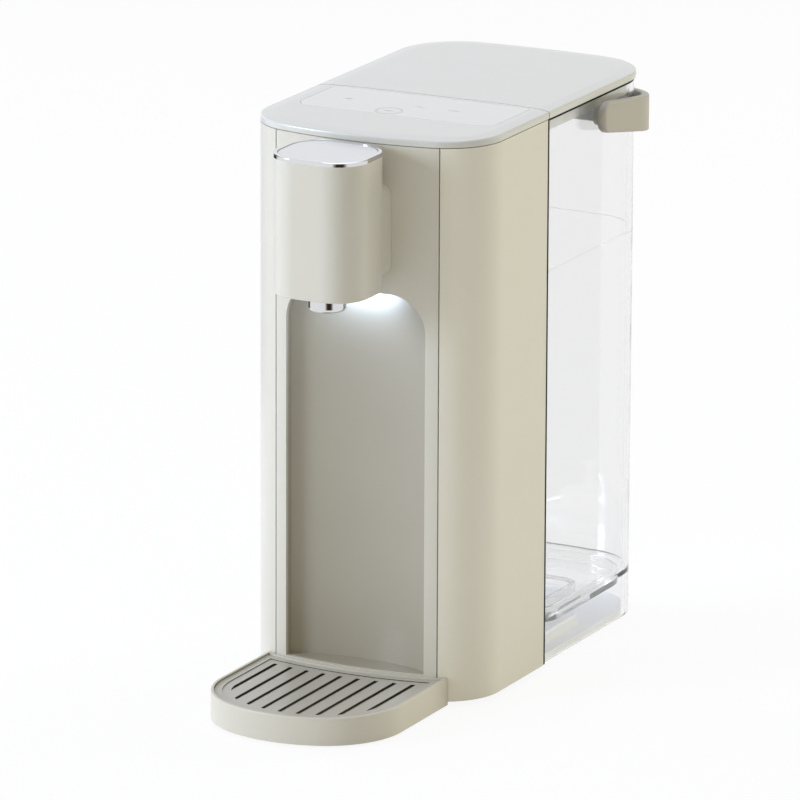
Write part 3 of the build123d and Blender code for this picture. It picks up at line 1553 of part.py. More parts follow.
# Temperature sensor, screwed into the heater's outlet cap
with BuildPart() as temperature_sensor:
    with BuildSketch(Plane.XY.offset(outlet_cap_top)):
        with Locations((heater_side + sensor_offset, heater_y)):
            RegularPolygon(sensor_radius, 6)
    extrude(amount=sensor_height / 3)
    with BuildSketch(Plane.XY.offset(outlet_cap_top)):
        with Locations((heater_side + sensor_offset, heater_y)):
            Circle(sensor_radius / 2)
    extrude(amount=sensor_height)
temperature_sensor.part.label = "temperature_sensor"
export_step(temperature_sensor.part, "parts/temperature_sensor.step")


def hose(points, radii):
    """Silicone hose of straight runs joined by arcs, from the first point to the last."""
    with BuildPart() as tube:
        with BuildLine() as route:
            FilletPolyline(*points, radius=radii)
        with BuildSketch(Plane(route.line @ 0, z_dir=route.line % 0)):
            Circle(hose_radius)
            Circle(hose_bore, mode=Mode.SUBTRACT)
        sweep()
    return tube.part


# Dock hose: from the dock's socket under the tank, up to the pump's inlet
with BuildPart() as dock_hose:
    add(hose([
        (0, valve_y - socket_radius - port_length, hose_z),
        (0, heater_y, hose_z),
        (0, heater_y, port_z),
        (heater_side - pump_radius - port_length, heater_y, port_z),
    ], [dock_hose_turn, dock_hose_turn]))
dock_hose.part.label = "dock_hose"
export_step(dock_hose.part, "parts/dock_hose.step")

# Pump hose: from the pump's outlet up to the flow meter
with BuildPart() as pump_hose:
    add(hose([
        (heater_side, heater_y - pump_radius - port_length, port_z),
        (heater_side, feed_y, port_z),
        (heater_side, feed_y, meter_bottom),
    ], [pump_hose_turn]))
pump_hose.part.label = "pump_hose"
export_step(pump_hose.part, "parts/pump_hose.step")

# Heater hose: from the flow meter up to the heater's inlet
with BuildPart() as heater_hose:
    add(hose([
        (heater_side, feed_y, meter_bottom + meter_height),
        (heater_side, feed_y, heater_port_z),
        (heater_side, heater_y - cap_radius - port_length, heater_port_z),
    ], [heater_hose_turn]))
heater_hose.part.label = "heater_hose"
export_step(heater_hose.part, "parts/heater_hose.step")

# Outlet hose: from the heater's top, forward through the neck to the outlet chamber
with BuildPart() as outlet_hose:
    add(hose([
        (heater_side, heater_y, outlet_cap_top + port_length),
        (heater_side, heater_y, hose_level),
        (0, heater_y - outlet_hose_lead, hose_level),
        (0, spout_y + chamber_radius + port_length, hose_level),
    ], [outlet_hose_turn, outlet_hose_sweep]))
outlet_hose.part.label = "outlet_hose"
export_step(outlet_hose.part, "parts/outlet_hose.step")

# Power board, on the bulkhead's standoffs
board_y = bulkhead_front - standoff_length
with BuildPart() as power_board:
    with BuildSketch(Plane.XZ.offset(-board_y)):
        with Locations((-power_board_side, power_board_level)):
            Rectangle(power_board_width, power_board_height)
        with Locations(*board_screw_spots):
            Circle(screw_radius + screw_gap, mode=Mode.SUBTRACT)
    extrude(amount=board_thickness)
power_board.part.label = "power_board"
export_step(power_board.part, "parts/power_board.step")

# Parts soldered to the power board: transformer, two relays, two capacitors and a connector
component_y = board_y - board_thickness
with BuildPart() as board_components:
    with BuildSketch(Plane.XZ.offset(-component_y)):
        with Locations((-power_board_side - transformer_left, power_board_level - transformer_low)):
            Rectangle(transformer_width, transformer_height)
    extrude(amount=transformer_depth)
    with BuildSketch(Plane.XZ.offset(-component_y)):
        with Locations((-power_board_side + relay_right, power_board_level - relay_low)):
            with GridLocations(0, relay_pitch, 1, 2):
                Rectangle(relay_width, relay_height)
    extrude(amount=relay_depth)
    with BuildSketch(Plane.XZ.offset(-component_y)):
        with Locations((-power_board_side - capacitor_left, power_board_level + capacitor_high)):
            with GridLocations(capacitor_pitch, 0, 2, 1):
                Circle(capacitor_radius)
    extrude(amount=capacitor_length)
    with BuildSketch(Plane.XZ.offset(-component_y)):
        with Locations((-power_board_side, power_board_level + connector_high)):
            Rectangle(connector_width, connector_height)
    extrude(amount=connector_depth)
board_components.part.label = "board_components"
export_step(board_components.part, "parts/board_components.step")

# Cord gland in the left side panel, with a flange outside and a bore for the cord
with BuildPart() as cord_gland:
    with BuildSketch(Plane.YZ.offset(-half_width)):
        with Locations((gland_y, gland_height)):
            Circle(gland_flange_radius)
    extrude(amount=-gland_lip)
    chamfer(cord_gland.edges().group_by(Axis.X)[0], 0.8)
    with BuildSketch(Plane.YZ.offset(-half_width)):
        with Locations((gland_y, gland_height)):
            Circle(gland_radius)
    extrude(amount=gland_length)
    with BuildSketch(Plane.YZ.offset(-half_width - gland_lip)):
        with Locations((gland_y, gland_height)):
            Circle(gland_bore)
    extrude(amount=gland_lip + gland_length, mode=Mode.SUBTRACT)
cord_gland.part.label = "cord_gland"
export_step(cord_gland.part, "parts/cord_gland.step")

# Terminal block on the base, where the cord's wires end
with BuildPart() as terminal_block:
    with BuildSketch(Plane.XY.offset(base_top)):
        with Locations((-terminal_side, front_y + terminal_setback)):
            RectangleRounded(terminal_width, terminal_depth, 1.5)
    extrude(amount=terminal_height)
    with BuildSketch(Plane.XY.offset(base_top + terminal_height)):
        with Locations((-terminal_side, front_y + terminal_setback)):
            with GridLocations(terminal_width / 3, terminal_depth / 2, 3, 2):
                Circle(screw_radius + screw_gap)
    extrude(amount=-terminal_height / 2, mode=Mode.SUBTRACT)
terminal_block.part.label = "terminal_block"
export_step(terminal_block.part, "parts/terminal_block.step")


def screws(seat, spots):
    """Pan-head screws with their heads standing on the plane seat and their shanks below it."""
    with BuildPart() as group:
        with BuildSketch(seat):
            with Locations(*spots):
                Circle(screw_head_radius)
        extrude(amount=screw_head_height)
        with BuildSketch(seat):
            with Locations(*spots):
                Circle(screw_radius)
        extrude(amount=-screw_length)
    return group.part


# Machine screws, all of one kind: bottom cover, neck, spout head, heater bands and both boards
neck_screw_reach = neck_screw_pitch_x / 2 + screw_head_radius
neck_seat_y = front_y + shell_wall + front_bulge * (neck_screw_reach / half_width) ** 2
with BuildPart() as machine_screws:
    add(screws(Plane((0, 0, foot_height), x_dir=(-1, 0, 0), z_dir=(0, 0, -1)), cover_screw_spots))
    add(screws(Plane((0, neck_seat_y, 0), x_dir=(-1, 0, 0), z_dir=(0, 1, 0)), neck_screw_spots))
    add(screws(Plane.XZ.offset(-spout_y - spout_depth / 2 + spout_wall), spout_screw_spots))
    add(screws(Plane.XZ.offset(-bulkhead_front + band_thickness), band_screw_spots))
    add(screws(Plane.XZ.offset(-component_y), board_screw_spots))
    add(screws(Plane((0, 0, board_top - board_thickness), x_dir=(-1, 0, 0), z_dir=(0, 0, -1)), post_spots))
machine_screws.part.label = "machine_screws"
export_step(machine_screws.part, "parts/machine_screws.step")
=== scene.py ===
from math import cos, radians, sin

import bpy
from mathutils import Matrix, Vector


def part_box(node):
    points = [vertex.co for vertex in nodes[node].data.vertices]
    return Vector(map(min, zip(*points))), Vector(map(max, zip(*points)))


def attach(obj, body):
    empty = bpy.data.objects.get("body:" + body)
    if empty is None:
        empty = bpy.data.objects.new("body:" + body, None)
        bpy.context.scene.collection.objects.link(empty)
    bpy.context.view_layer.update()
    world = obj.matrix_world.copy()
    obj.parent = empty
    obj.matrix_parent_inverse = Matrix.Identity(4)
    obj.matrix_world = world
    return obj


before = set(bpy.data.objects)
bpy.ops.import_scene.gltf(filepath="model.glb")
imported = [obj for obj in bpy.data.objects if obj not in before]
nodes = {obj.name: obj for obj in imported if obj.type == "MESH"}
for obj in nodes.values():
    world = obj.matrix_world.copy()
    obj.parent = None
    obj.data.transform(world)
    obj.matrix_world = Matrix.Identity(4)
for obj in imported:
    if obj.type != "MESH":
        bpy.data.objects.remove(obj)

scene = bpy.context.scene
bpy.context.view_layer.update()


# Camera: a long lens far back on the right, a little above the top of the column.
# Its turn, tilt and distance were fitted to the column's edges, its seams and the tray.
camera_turn = radians(26.76)
camera_tilt = radians(15.13)
camera_roll = radians(0.24)
camera_place = Vector((1.8784, -3.7401, 1.2741))
lens_mm = 374.6
sensor_mm = 36.0
farthest_seen = 20.0

level_right = Vector((cos(camera_turn), sin(camera_turn), 0))
level_back = Vector((sin(camera_turn), -cos(camera_turn), 0))
backward = level_back * cos(camera_tilt) + Vector((0, 0, sin(camera_tilt)))
level_up = backward.cross(level_right)
right = level_right * cos(camera_roll) + level_up * sin(camera_roll)
up = level_up * cos(camera_roll) - level_right * sin(camera_roll)
camera_data = bpy.data.cameras.new("camera")
camera_data.sensor_width = sensor_mm
camera_data.lens = lens_mm
camera_data.clip_end = farthest_seen
camera = bpy.data.objects.new("camera", camera_data)
camera.matrix_world = Matrix.Translation(camera_place) @ Matrix((right, up, backward)).transposed().to_4x4()
scene.collection.objects.link(camera)
scene.camera = camera
scene.view_settings.view_transform = "Standard"


def linear(colour):
    """Turn an sRGB hex value such as "#D4CFC3" into linear red, green, blue and alpha."""
    channels = [int(colour[i:i + 2], 16) / 255 for i in (1, 3, 5)]
    return tuple(c / 12.92 if c <= 0.04045 else ((c + 0.055) / 1.055) ** 2.4 for c in channels) + (1.0,)


def add_node(tree, kind, inputs=None, **settings):
    """Add a node; settings are its properties, inputs gives a socket a value or an output to follow."""
    node = tree.nodes.new("ShaderNode" + kind)
    for name, value in settings.items():
        setattr(node, name, value)
    for name, value in (inputs or {}).items():
        if isinstance(value, bpy.types.NodeSocket):
            tree.links.new(value, node.inputs[name])
        else:
            node.inputs[name].default_value = value
    return node


def seen_or_mirrored(tree):
    """Give an output that is 1 where a thing is seen, mirrored or looked at through clear plastic."""
    ray = add_node(tree, "LightPath")
    seen = add_node(tree, "Math", {0: ray.outputs["Is Camera Ray"], 1: ray.outputs["Is Transmission Ray"]},
                    operation="MAXIMUM")
    either = add_node(tree, "Math", {0: seen.outputs[0], 1: ray.outputs["Is Glossy Ray"]},
                      operation="MAXIMUM")
    return either.outputs[0]


# Studio: a white sweep under soft boxes. The world is white where it is seen, mirrored or looked
# at through clear plastic, and dimmer as a light, so that a colour renders about as it is written.
world_light = linear("#B7B19E")
world = bpy.data.worlds.new("studio")
scene.world = world
world.use_nodes = True
tree = world.node_tree
tree.nodes.clear()
glow = add_node(tree, "Mix", {"Factor": seen_or_mirrored(tree), "A": world_light, "B": linear("#FFFFFF")},
                data_type="RGBA")
sky = add_node(tree, "Background", {"Color": glow.outputs["Result"], "Strength": 1.0})
add_node(tree, "OutputWorld", {"Surface": sky.outputs[0]})


def aimed(place, aim):
    """Give the matrix that stands a thing at place and turns its face towards aim."""
    turn = (Vector(place) - Vector(aim)).to_track_quat("Z", "Y").to_matrix().to_4x4()
    return Matrix.Translation(place) @ turn


def soft_box(name, place, aim, width, height, watts, colour):
    """Hang a rectangular lamp at place, turned towards aim."""
    light = bpy.data.lights.new(name, "AREA")
    light.shape = "RECTANGLE"
    light.size = width
    light.size_y = height
    light.energy = watts
    light.color = linear(colour)[:3]
    lamp = bpy.data.objects.new(name, light)
    lamp.matrix_world = aimed(place, aim)
    scene.collection.objects.link(lamp)
    return lamp


# Lamps: the key from the front left, a broad one from the left, a warm one from behind on the
# right, a small one low at the front right and a cool one overhead.
middle = (0, 0, 0.16)
soft_box("key_lamp", (-1.7, -1.8, 0.85), middle, width=0.7, height=0.9, watts=44, colour="#DCE8FF")
soft_box("left_lamp", (-2.2, 0.3, 0.8), middle, width=1.6, height=1.8, watts=25, colour="#DAE2FF")
soft_box("right_lamp", (1.3, 2.1, 0.7), middle, width=1.0, height=1.4, watts=26, colour="#FFFBDE")
corner_lamp = soft_box("corner_lamp", (0.62, -0.85, 0.1), middle, width=0.4, height=0.4, watts=1.8,
                       colour="#FFFBE6")
soft_box("top_lamp", (0, 0.3, 2.2), middle, width=1.6, height=1.6, watts=19, colour="#C0D2FF")


def flag(name, place, aim, width, height, colour):
    """Stand a plain board at place, turned towards aim, that only mirrors and clear plastic show."""
    bpy.ops.mesh.primitive_plane_add(size=1.0)
    board = bpy.context.object
    board.name = name
    board.matrix_world = aimed(place, aim) @ Matrix.Diagonal((width, height, 1.0, 1.0))
    material = bpy.data.materials.new(name)
    material.use_nodes = True
    tree = material.node_tree
    tree.nodes.clear()
    fade_start, fade_end = 0.15, 0.5
    across = add_node(tree, "SeparateXYZ", {"Vector": add_node(tree, "TexCoord").outputs["Object"]})
    off_middle = add_node(tree, "Math", {0: across.outputs["X"]}, operation="ABSOLUTE")
    fade = add_node(tree, "MapRange", {"Value": off_middle.outputs[0], "From Min": fade_start,
                                       "From Max": fade_end}, interpolation_type="SMOOTHSTEP")
    tone = add_node(tree, "Mix", {"Factor": fade.outputs["Result"], "A": linear(colour),
                                  "B": linear("#FFFFFF")}, data_type="RGBA")
    face = add_node(tree, "Emission", {"Color": tone.outputs["Result"], "Strength": 1.0})
    add_node(tree, "OutputMaterial", {"Surface": face.outputs[0]})
    board.data.materials.append(material)
    board.visible_camera = False
    board.visible_diffuse = False
    board.visible_shadow = False
    return board


# Flags: dark boards beside the spout give the chrome its dark streaks, and grey ones to the
# left and right of the tank draw the edges of its clear walls. Their sides fade to white.
spout_middle = (0, -0.097, 0.16)
spout_flags = [
    flag("spout_flag_right", (0.24, -0.42, 0.16), spout_middle, width=0.42, height=0.20, colour="#3A3029"),
    flag("spout_flag_left", (-0.36, 0.06, 0.16), spout_middle, width=0.36, height=0.20, colour="#3A3029"),
]
for board in spout_flags:
    board.visible_transmission = False
flag("tank_flag_right", (0.72, 1.5, 0.45), (0, 0.04, 0.2), width=2.2, height=1.8, colour="#85827B")
flag("tank_flag_left", (-1.5, 0.25, 0.4), (0, 0.04, 0.15), width=1.8, height=1.6, colour="#7E7C77")

# The corner lamp lights the right side panel alone, as a lamp behind boards with a slit would.
panel_only = bpy.data.collections.new("lit_by_corner_lamp")
panel_only.objects.link(nodes["right_side_panel"])
corner_lamp.light_linking.receiver_collection = panel_only

# Floor: a sheet of white paper just under the feet. Most of it glows white where it is seen,
# so that it meets the world without a line, and the rest keeps the shadow.
floor_size = 12.0
floor_drop = 0.0002
floor_glow = 0.90
bpy.ops.object.select_all(action="DESELECT")
bpy.ops.mesh.primitive_plane_add(size=floor_size, location=(0, 0, -floor_drop))
floor = bpy.context.object
floor.name = "studio_floor"
floor_material = bpy.data.materials.new("white_sweep")
floor_material.use_nodes = True
tree = floor_material.node_tree
tree.nodes.clear()
glow_share = add_node(tree, "Math", {0: seen_or_mirrored(tree), 1: floor_glow}, operation="MULTIPLY")
paper = add_node(tree, "BsdfDiffuse", {"Color": linear("#F4F4F4")})
glow = add_node(tree, "Emission", {"Color": linear("#FFFFFF"), "Strength": 1.0})
mixed = add_node(tree, "MixShader", {0: glow_share.outputs[0], 1: paper.outputs[0], 2: glow.outputs[0]})
add_node(tree, "OutputMaterial", {"Surface": mixed.outputs[0]})
floor.data.materials.append(floor_material)


def dress(material, *names):
    """Give the named CAD nodes one material."""
    for name in names:
        node = nodes[name]
        node.data.materials.clear()
        node.data.materials.append(material)


def principled(name):
    """Start a material with an empty principled surface, and return it with its tree and shader."""
    material = bpy.data.materials.new(name)
    material.use_nodes = True
    tree = material.node_tree
    tree.nodes.clear()
    shader = add_node(tree, "BsdfPrincipled")
    add_node(tree, "OutputMaterial", {"Surface": shader.outputs[0]})
    return material, tree, shader


def moulded_plastic(name, colour, shade, roughness, grain_mm, grain_depth_mm, coat=0.0, shine=0.5):
    """Injection-moulded plastic: a fine even grain from the mould, and a slow drift in tone and gloss."""
    tone_drift_mm, gloss_drift_mm, gloss_drift = 45, 12, 0.03
    material, tree, shader = principled(name)
    place = add_node(tree, "TexCoord").outputs["Object"]
    drift = add_node(tree, "TexNoise", {"Vector": place, "Scale": 1000 / tone_drift_mm, "Detail": 2.0})
    tone = add_node(tree, "Mix", {"Factor": drift.outputs["Fac"], "A": linear(colour), "B": linear(shade)},
                    data_type="RGBA")
    tree.links.new(tone.outputs["Result"], shader.inputs["Base Color"])
    patches = add_node(tree, "TexNoise", {"Vector": place, "Scale": 1000 / gloss_drift_mm, "Detail": 3.0})
    gloss = add_node(tree, "MapRange", {"Value": patches.outputs["Fac"], "To Min": roughness - gloss_drift,
                                        "To Max": roughness + gloss_drift})
    tree.links.new(gloss.outputs["Result"], shader.inputs["Roughness"])
    grain = add_node(tree, "TexNoise", {"Vector": place, "Scale": 1000 / grain_mm, "Detail": 1.0})
    bump = add_node(tree, "Bump", {"Height": grain.outputs["Fac"], "Strength": 1.0,
                                   "Distance": grain_depth_mm / 1000})
    tree.links.new(bump.outputs["Normal"], shader.inputs["Normal"])
    shader.inputs["IOR"].default_value = 1.52
    shader.inputs["Specular IOR Level"].default_value = shine
    shader.inputs["Coat Weight"].default_value = coat
    shader.inputs["Coat Roughness"].default_value = 0.12
    return material


# Casing: two side panels, the front panel between them, the spout and its neck.
# All are injection-moulded ABS in a warm off-white, polished in the mould to a smooth satin.
casing_plastic = moulded_plastic("satin_abs_casing", "#D4D0C3", "#D0CCBE", roughness=0.38,
                                 grain_mm=0.8, grain_depth_mm=0.0008)
dress(casing_plastic, "right_side_panel", "left_side_panel", "front_panel", "spout_head", "spout_neck")

# Top: cover and lid, in the same plastic with a glossier skin that mirrors the room above.
# The lid lifts off the tank, and the seam between the two curves forward at its ends.
top_plastic = moulded_plastic("gloss_abs_top", "#D2D2CB", "#CFCFC7", roughness=0.30,
                              grain_mm=1.0, grain_depth_mm=0.0006, coat=0.3)
dress(top_plastic, "top_cover", "tank_lid")

# Touch window: a flat strip of the same ABS let into the cover, under a hard clear coat.
# The coat makes it a little brighter and sharper in its mirroring than the cover round it.
window_plastic = moulded_plastic("clear_coated_window", "#D3D2CC", "#D0CFC9", roughness=0.20,
                                 grain_mm=1.2, grain_depth_mm=0.0004, coat=0.6)
dress(window_plastic, "touch_window")


# Touch marks: thin grey ink printed on the window over the four touch pads. One is a ring
# with a bar in it, the others are bars with round ends, all plain shapes that stand for no word.
window_low, window_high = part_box("touch_window")
window_top = window_high.z
window_y = (window_low.y + window_high.y) / 2
ink_thickness = 0.00002


def thicken_ink():
    """Raise the flat mark in edit mode to the ink's thickness, as one closed solid."""
    bpy.ops.mesh.select_all(action="SELECT")
    bpy.ops.mesh.extrude_region_move(TRANSFORM_OT_translate={"value": (0, 0, ink_thickness)})
    bpy.ops.mesh.select_all(action="SELECT")
    bpy.ops.mesh.normals_make_consistent(inside=False)


def printed_bar(name, x, y, length, width):
    """Print a bar with round ends at x, y on the window."""
    end_share, end_steps = 0.499, 6
    bpy.ops.object.select_all(action="DESELECT")
    bpy.ops.mesh.primitive_plane_add(size=1.0, location=(x, y, window_top))
    bar = bpy.context.object
    bar.name = name
    bar.scale = (length, width, 1.0)
    bpy.ops.object.transform_apply(location=True, rotation=True, scale=True)
    bpy.ops.object.mode_set(mode="EDIT")
    bpy.ops.mesh.select_all(action="SELECT")
    bpy.ops.mesh.bevel(offset=width * end_share, segments=end_steps, affect="VERTICES")
    thicken_ink()
    bpy.ops.object.mode_set(mode="OBJECT")
    return bar


ring_x = -0.006
ring_y = window_y - 0.015
ring_radius = 0.0070
ring_line = 0.0004
ring_points = 96
ring_bar = printed_bar("ring_bar", ring_x, ring_y, length=0.0046, width=0.0009)
left_bar = printed_bar("left_bar", -0.037, window_y, length=0.0040, width=0.0010)
right_bar = printed_bar("right_bar", 0.004, window_y, length=0.0044, width=0.0007)
far_bar = printed_bar("far_bar", 0.024, window_y, length=0.0060, width=0.0007)

bpy.ops.object.select_all(action="DESELECT")
bpy.ops.mesh.primitive_circle_add(vertices=ring_points, radius=ring_radius, fill_type="NGON",
                                  location=(ring_x, ring_y, window_top))
touch_ring = bpy.context.object
touch_ring.name = "touch_ring"
bpy.ops.object.transform_apply(location=True, rotation=True, scale=True)
bpy.ops.object.mode_set(mode="EDIT")
bpy.ops.mesh.select_all(action="SELECT")
bpy.ops.mesh.inset(thickness=ring_line)
bpy.ops.mesh.delete(type="ONLY_FACE")
thicken_ink()
bpy.ops.object.mode_set(mode="OBJECT")

# Their ink is a grey pad print, whose tone wavers a little with the screen it came through.
ink, tree, shader = principled("grey_pad_printed_ink")
place = add_node(tree, "TexCoord").outputs["Object"]
screen = add_node(tree, "TexNoise", {"Vector": place, "Scale": 1 / 0.0004})
tone = add_node(tree, "Mix", {"Factor": screen.outputs["Fac"], "A": linear("#7F8084"),
                              "B": linear("#919296")}, data_type="RGBA")
tree.links.new(tone.outputs["Result"], shader.inputs["Base Color"])
shader.inputs["Roughness"].default_value = 0.45
for mark in (touch_ring, ring_bar, left_bar, right_bar, far_bar):
    mark.data.materials.append(ink)
    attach(mark, "base")

# Splash back: the trough that lines the niche, moulded in the same ABS.
# Its colour is the casing's ABS painted darker and greyer, as painted shade for the recessed niche, with a
# smoother satin face.
splash_plastic_painted_shade = moulded_plastic("satin_abs_splash_back", "#A8A291", "#A39D8D", roughness=0.32,
                                 grain_mm=0.8, grain_depth_mm=0.0008)
# The trough's darker tone is painted shade, not a different plastic.
dress(splash_plastic_painted_shade, "splash_back")

# Spout trim: a chrome-plated ring and nozzle. Plated ABS mirrors almost everything, with the
# faint waves of the plastic under the chrome and a few duller smears.
chrome, tree, shader = principled("bright_chrome_plate")
shader.inputs["Base Color"].default_value = linear("#DADADC")
shader.inputs["Metallic"].default_value = 1.0
place = add_node(tree, "TexCoord").outputs["Object"]
waves = add_node(tree, "TexNoise", {"Vector": place, "Scale": 1 / 0.006, "Detail": 1.0})
bump = add_node(tree, "Bump", {"Height": waves.outputs["Fac"], "Strength": 1.0, "Distance": 0.00002})
tree.links.new(bump.outputs["Normal"], shader.inputs["Normal"])
smears = add_node(tree, "MapRange", {"Value": waves.outputs["Fac"], "To Min": 0.03, "To Max": 0.09})
tree.links.new(smears.outputs["Result"], shader.inputs["Roughness"])
dress(chrome, "spout_ring", "nozzle")

# Spout cap: a disc inside the ring, sprayed with pearl lacquer. Its flakes, drawn 0.7 mm wide so
# that they show, change the tone and the gloss from one to the next under a clear coat.
pearl, tree, shader = principled("pearl_lacquer_cap")
place = add_node(tree, "TexCoord").outputs["Object"]
flakes = add_node(tree, "TexVoronoi", {"Vector": place, "Scale": 1 / 0.0007})
sparkle = add_node(tree, "MapRange", {"Value": flakes.outputs["Distance"], "To Min": 0.20, "To Max": 0.26})
tree.links.new(sparkle.outputs["Result"], shader.inputs["Roughness"])
tone = add_node(tree, "Mix", {"Factor": flakes.outputs["Distance"], "A": linear("#D9D8D6"),
                              "B": linear("#D2D1CF")}, data_type="RGBA")
tree.links.new(tone.outputs["Result"], shader.inputs["Base Color"])
shader.inputs["Coat Weight"].default_value = 0.4
dress(pearl, "spout_cap")

# Drip tray: a shallow dish of satin ABS in the casing's colour, which slides out to the front.
tray_plastic = moulded_plastic("satin_abs_tray", "#D0CBBC", "#CCC7B7", roughness=0.40,
                               grain_mm=0.8, grain_depth_mm=0.0008)
dress(tray_plastic, "drip_tray")

# Drip grate: a slotted plate of the same ABS, a shade greyer, that lies loose in the tray.
# Its upright faces are painted darker, a painted shade that deepens the shade in the slots and round the
# rim.
grate_plastic = moulded_plastic("satin_abs_grate", "#B9B5A9", "#B4B0A4", roughness=0.36,
                                grain_mm=0.8, grain_depth_mm=0.0008)
tree = grate_plastic.node_tree
shader = tree.nodes["Principled BSDF"]
plain_tone = shader.inputs["Base Color"].links[0].from_socket
# Painted shade: the more upright a face, the more of the dark tone it takes.
facing = add_node(tree, "SeparateXYZ", {"Vector": add_node(tree, "NewGeometry").outputs["True Normal"]})
level = add_node(tree, "Math", {0: facing.outputs["Z"]}, operation="ABSOLUTE")
painted_upright_shade = add_node(tree, "Mix", {"Factor": level.outputs[0], "A": linear("#4A4339"), "B": plain_tone},
                  data_type="RGBA")
tree.links.new(painted_upright_shade.outputs["Result"], shader.inputs["Base Color"])
dress(grate_plastic, "drip_grate")

# Tank: one clear moulding of a copolyester, faintly grey through its walls, which wave a little
# from the mould. Light passes it without a shadow, so that its floor and the dock are lit.
clear_plastic, tree, shader = principled("clear_copolyester_tank")
shader.inputs["Base Color"].default_value = linear("#FAFAFA")
shader.inputs["Transmission Weight"].default_value = 1.0
shader.inputs["IOR"].default_value = 1.5
place = add_node(tree, "TexCoord").outputs["Object"]
flow = add_node(tree, "TexNoise", {"Vector": place, "Scale": 1 / 0.03, "Detail": 1.0})
haze = add_node(tree, "MapRange", {"Value": flow.outputs["Fac"], "To Min": 0.0, "To Max": 0.03})
tree.links.new(haze.outputs["Result"], shader.inputs["Roughness"])
bump = add_node(tree, "Bump", {"Height": flow.outputs["Fac"], "Strength": 1.0, "Distance": 0.0001})
tree.links.new(bump.outputs["Normal"], shader.inputs["Normal"])
wall_tint = add_node(tree, "VolumeAbsorption", {"Color": linear("#B4B4B8"), "Density": 14.0})
tree.links.new(wall_tint.outputs[0], tree.nodes["Material Output"].inputs["Volume"])
dress(clear_plastic, "tank_body")
nodes["tank_body"].visible_shadow = False

# Handle: a bail of satin greige ABS that swings on two bosses welded to the tank.
handle_plastic = moulded_plastic("satin_abs_handle", "#AFA99C", "#AAA496", roughness=0.42,
                                 grain_mm=0.8, grain_depth_mm=0.001)
dress(handle_plastic, "tank_handle", "handle_bosses")

# Light in the niche: a frosted bar of clear plastic in the ceiling, lit from behind by a cool
# white diode. The bar glows, and a lamp just under it throws its light on the splash back.
lens, tree, shader = principled("frosted_lamp_lens")
place = add_node(tree, "TexCoord").outputs["Object"]
frost = add_node(tree, "TexNoise", {"Vector": place, "Scale": 1 / 0.0006})
tone = add_node(tree, "Mix", {"Factor": frost.outputs["Fac"], "A": linear("#FFFFFF"),
                              "B": linear("#E6EEFA")}, data_type="RGBA")
tree.links.new(tone.outputs["Result"], shader.inputs["Base Color"])
shader.inputs["Roughness"].default_value = 0.5
shader.inputs["Emission Color"].default_value = linear("#DCE9FF")
shader.inputs["Emission Strength"].default_value = 1.6
dress(lens, "lamp_lens")
lens_low, lens_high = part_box("lamp_lens")
lens_gap = 0.001
lamp_place = ((lens_low.x + lens_high.x) / 2, lens_low.y - lens_gap, lens_low.z - lens_gap)
lamp_aim = (0, lamp_place[1] + 0.02, lamp_place[2] - 0.009)
soft_box("niche_lamp", lamp_place, lamp_aim, width=0.03, height=0.0016, watts=0.021, colour="#BCD4FF")

# Fittings in the tank and above the nozzle: plain white acetal, smooth from the mould.
white_plastic = moulded_plastic("white_acetal_fittings", "#E6E4DF", "#E1DFDA", roughness=0.35,
                                grain_mm=0.8, grain_depth_mm=0.001)
dress(white_plastic, "valve_housing", "valve_poppet", "valve_cage", "inlet_filter", "float_guide",
      "level_float", "flow_meter", "outlet_chamber", "nozzle_nut")

# Base pan, bottom cover and dock: filled polypropylene in light grey, duller than the casing.
base_plastic = moulded_plastic("grey_filled_polypropylene", "#E4E3DF", "#DFDEDA", roughness=0.50,
                               grain_mm=0.8, grain_depth_mm=0.003)
dress(base_plastic, "base_pan", "bottom_cover", "dock_socket")

# Bulkhead: near-black matt polypropylene, whose edges show as a dark line before the tank.
bulkhead_plastic = moulded_plastic("black_polypropylene", "#161517", "#121113", roughness=0.60,
                                   grain_mm=0.8, grain_depth_mm=0.003, shine=0.1)
dress(bulkhead_plastic, "rear_bulkhead")

# Heat-proof parts of the heater and pump, and the terminal block: black filled nylon.
black_plastic = moulded_plastic("black_filled_nylon", "#2B2A2A", "#242323", roughness=0.48,
                                grain_mm=0.8, grain_depth_mm=0.003)
dress(black_plastic, "heater_inlet_cap", "heater_outlet_cap", "pump_housing", "pump_impeller",
      "terminal_block", "thermal_cutout", "board_components")

# Rubber: feet, seals, the lid's gasket, the pump's damper and the gland, all moulded matt black.
# The gasket shows as a dark line under the lid.
rubber = moulded_plastic("black_moulded_rubber", "#19181A", "#141315", roughness=0.70,
                         grain_mm=0.7, grain_depth_mm=0.004, shine=0.15)
dress(rubber, "rubber_feet", "poppet_seal", "dock_seal", "pump_damper", "cord_gland", "touch_pads",
      "lid_gasket")

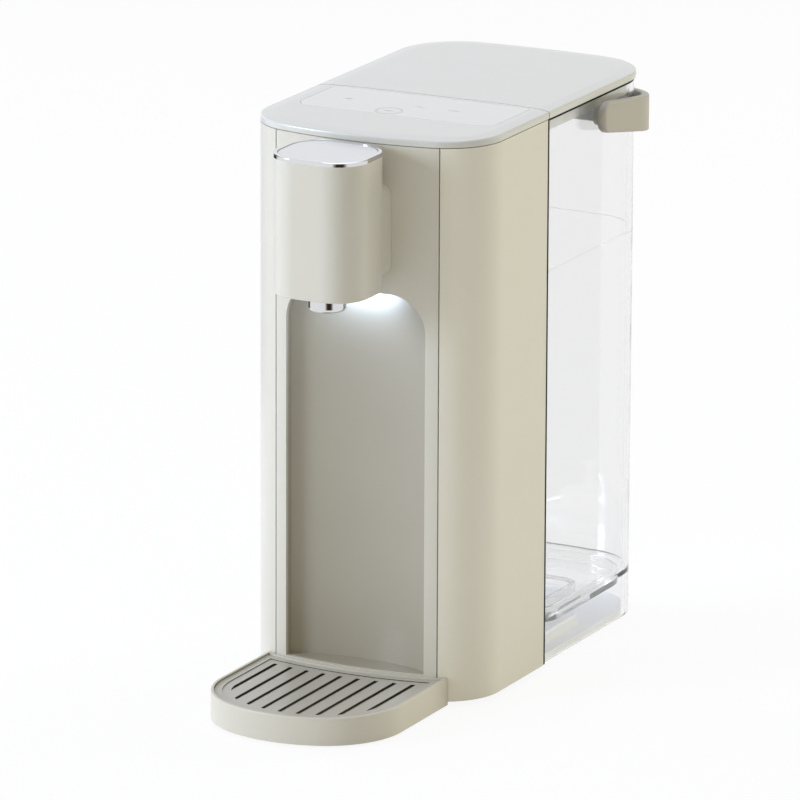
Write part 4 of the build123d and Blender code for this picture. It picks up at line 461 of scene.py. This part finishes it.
# Silicone: hoses and the nozzle's insert, milky and soft.
silicone = moulded_plastic("milky_silicone", "#DCDBD6", "#D5D4CF", roughness=0.45,
                           grain_mm=0.8, grain_depth_mm=0.001)
dress(silicone, "nozzle_insert", "dock_hose", "pump_hose", "heater_hose", "outlet_hose")

# Steel: heater tube, its bands, the motor's can, spring and screws, with a drawn grain along Z.
# The grain is a noise of 0.6 mm, stretched 33 times along Z, that turns tone and gloss.
steel, tree, shader = principled("drawn_stainless_steel")
shader.inputs["Metallic"].default_value = 1.0
place = add_node(tree, "TexCoord").outputs["Object"]
stretch = add_node(tree, "Mapping", {"Vector": place, "Scale": (1.0, 1.0, 0.03)})
lines = add_node(tree, "TexNoise", {"Vector": stretch.outputs[0], "Scale": 1 / 0.0006, "Detail": 2.0})
tone = add_node(tree, "Mix", {"Factor": lines.outputs["Fac"], "A": linear("#B9B7B2"),
                              "B": linear("#A3A19C")}, data_type="RGBA")
tree.links.new(tone.outputs["Result"], shader.inputs["Base Color"])
gloss = add_node(tree, "MapRange", {"Value": lines.outputs["Fac"], "To Min": 0.25, "To Max": 0.42})
tree.links.new(gloss.outputs["Result"], shader.inputs["Roughness"])
dress(steel, "heater_tube", "heater_bands", "pump_motor", "valve_spring", "machine_screws")

# Temperature sensor: a turned brass body, whose fine tool marks turn its gloss.
brass, tree, shader = principled("turned_brass")
shader.inputs["Metallic"].default_value = 1.0
place = add_node(tree, "TexCoord").outputs["Object"]
turning = add_node(tree, "TexNoise", {"Vector": place, "Scale": 1 / 0.0005})
gloss = add_node(tree, "MapRange", {"Value": turning.outputs["Fac"], "To Min": 0.25, "To Max": 0.4})
tree.links.new(gloss.outputs["Result"], shader.inputs["Roughness"])
shader.inputs["Base Color"].default_value = linear("#C9A860")
dress(brass, "temperature_sensor")

# Circuit boards: glass-epoxy laminate under green solder lacquer.
laminate = moulded_plastic("green_lacquered_laminate", "#2A6B45", "#225C3A", roughness=0.3,
                           grain_mm=0.7, grain_depth_mm=0.002, coat=0.3)
dress(laminate, "control_board", "power_board", "lamp_board")
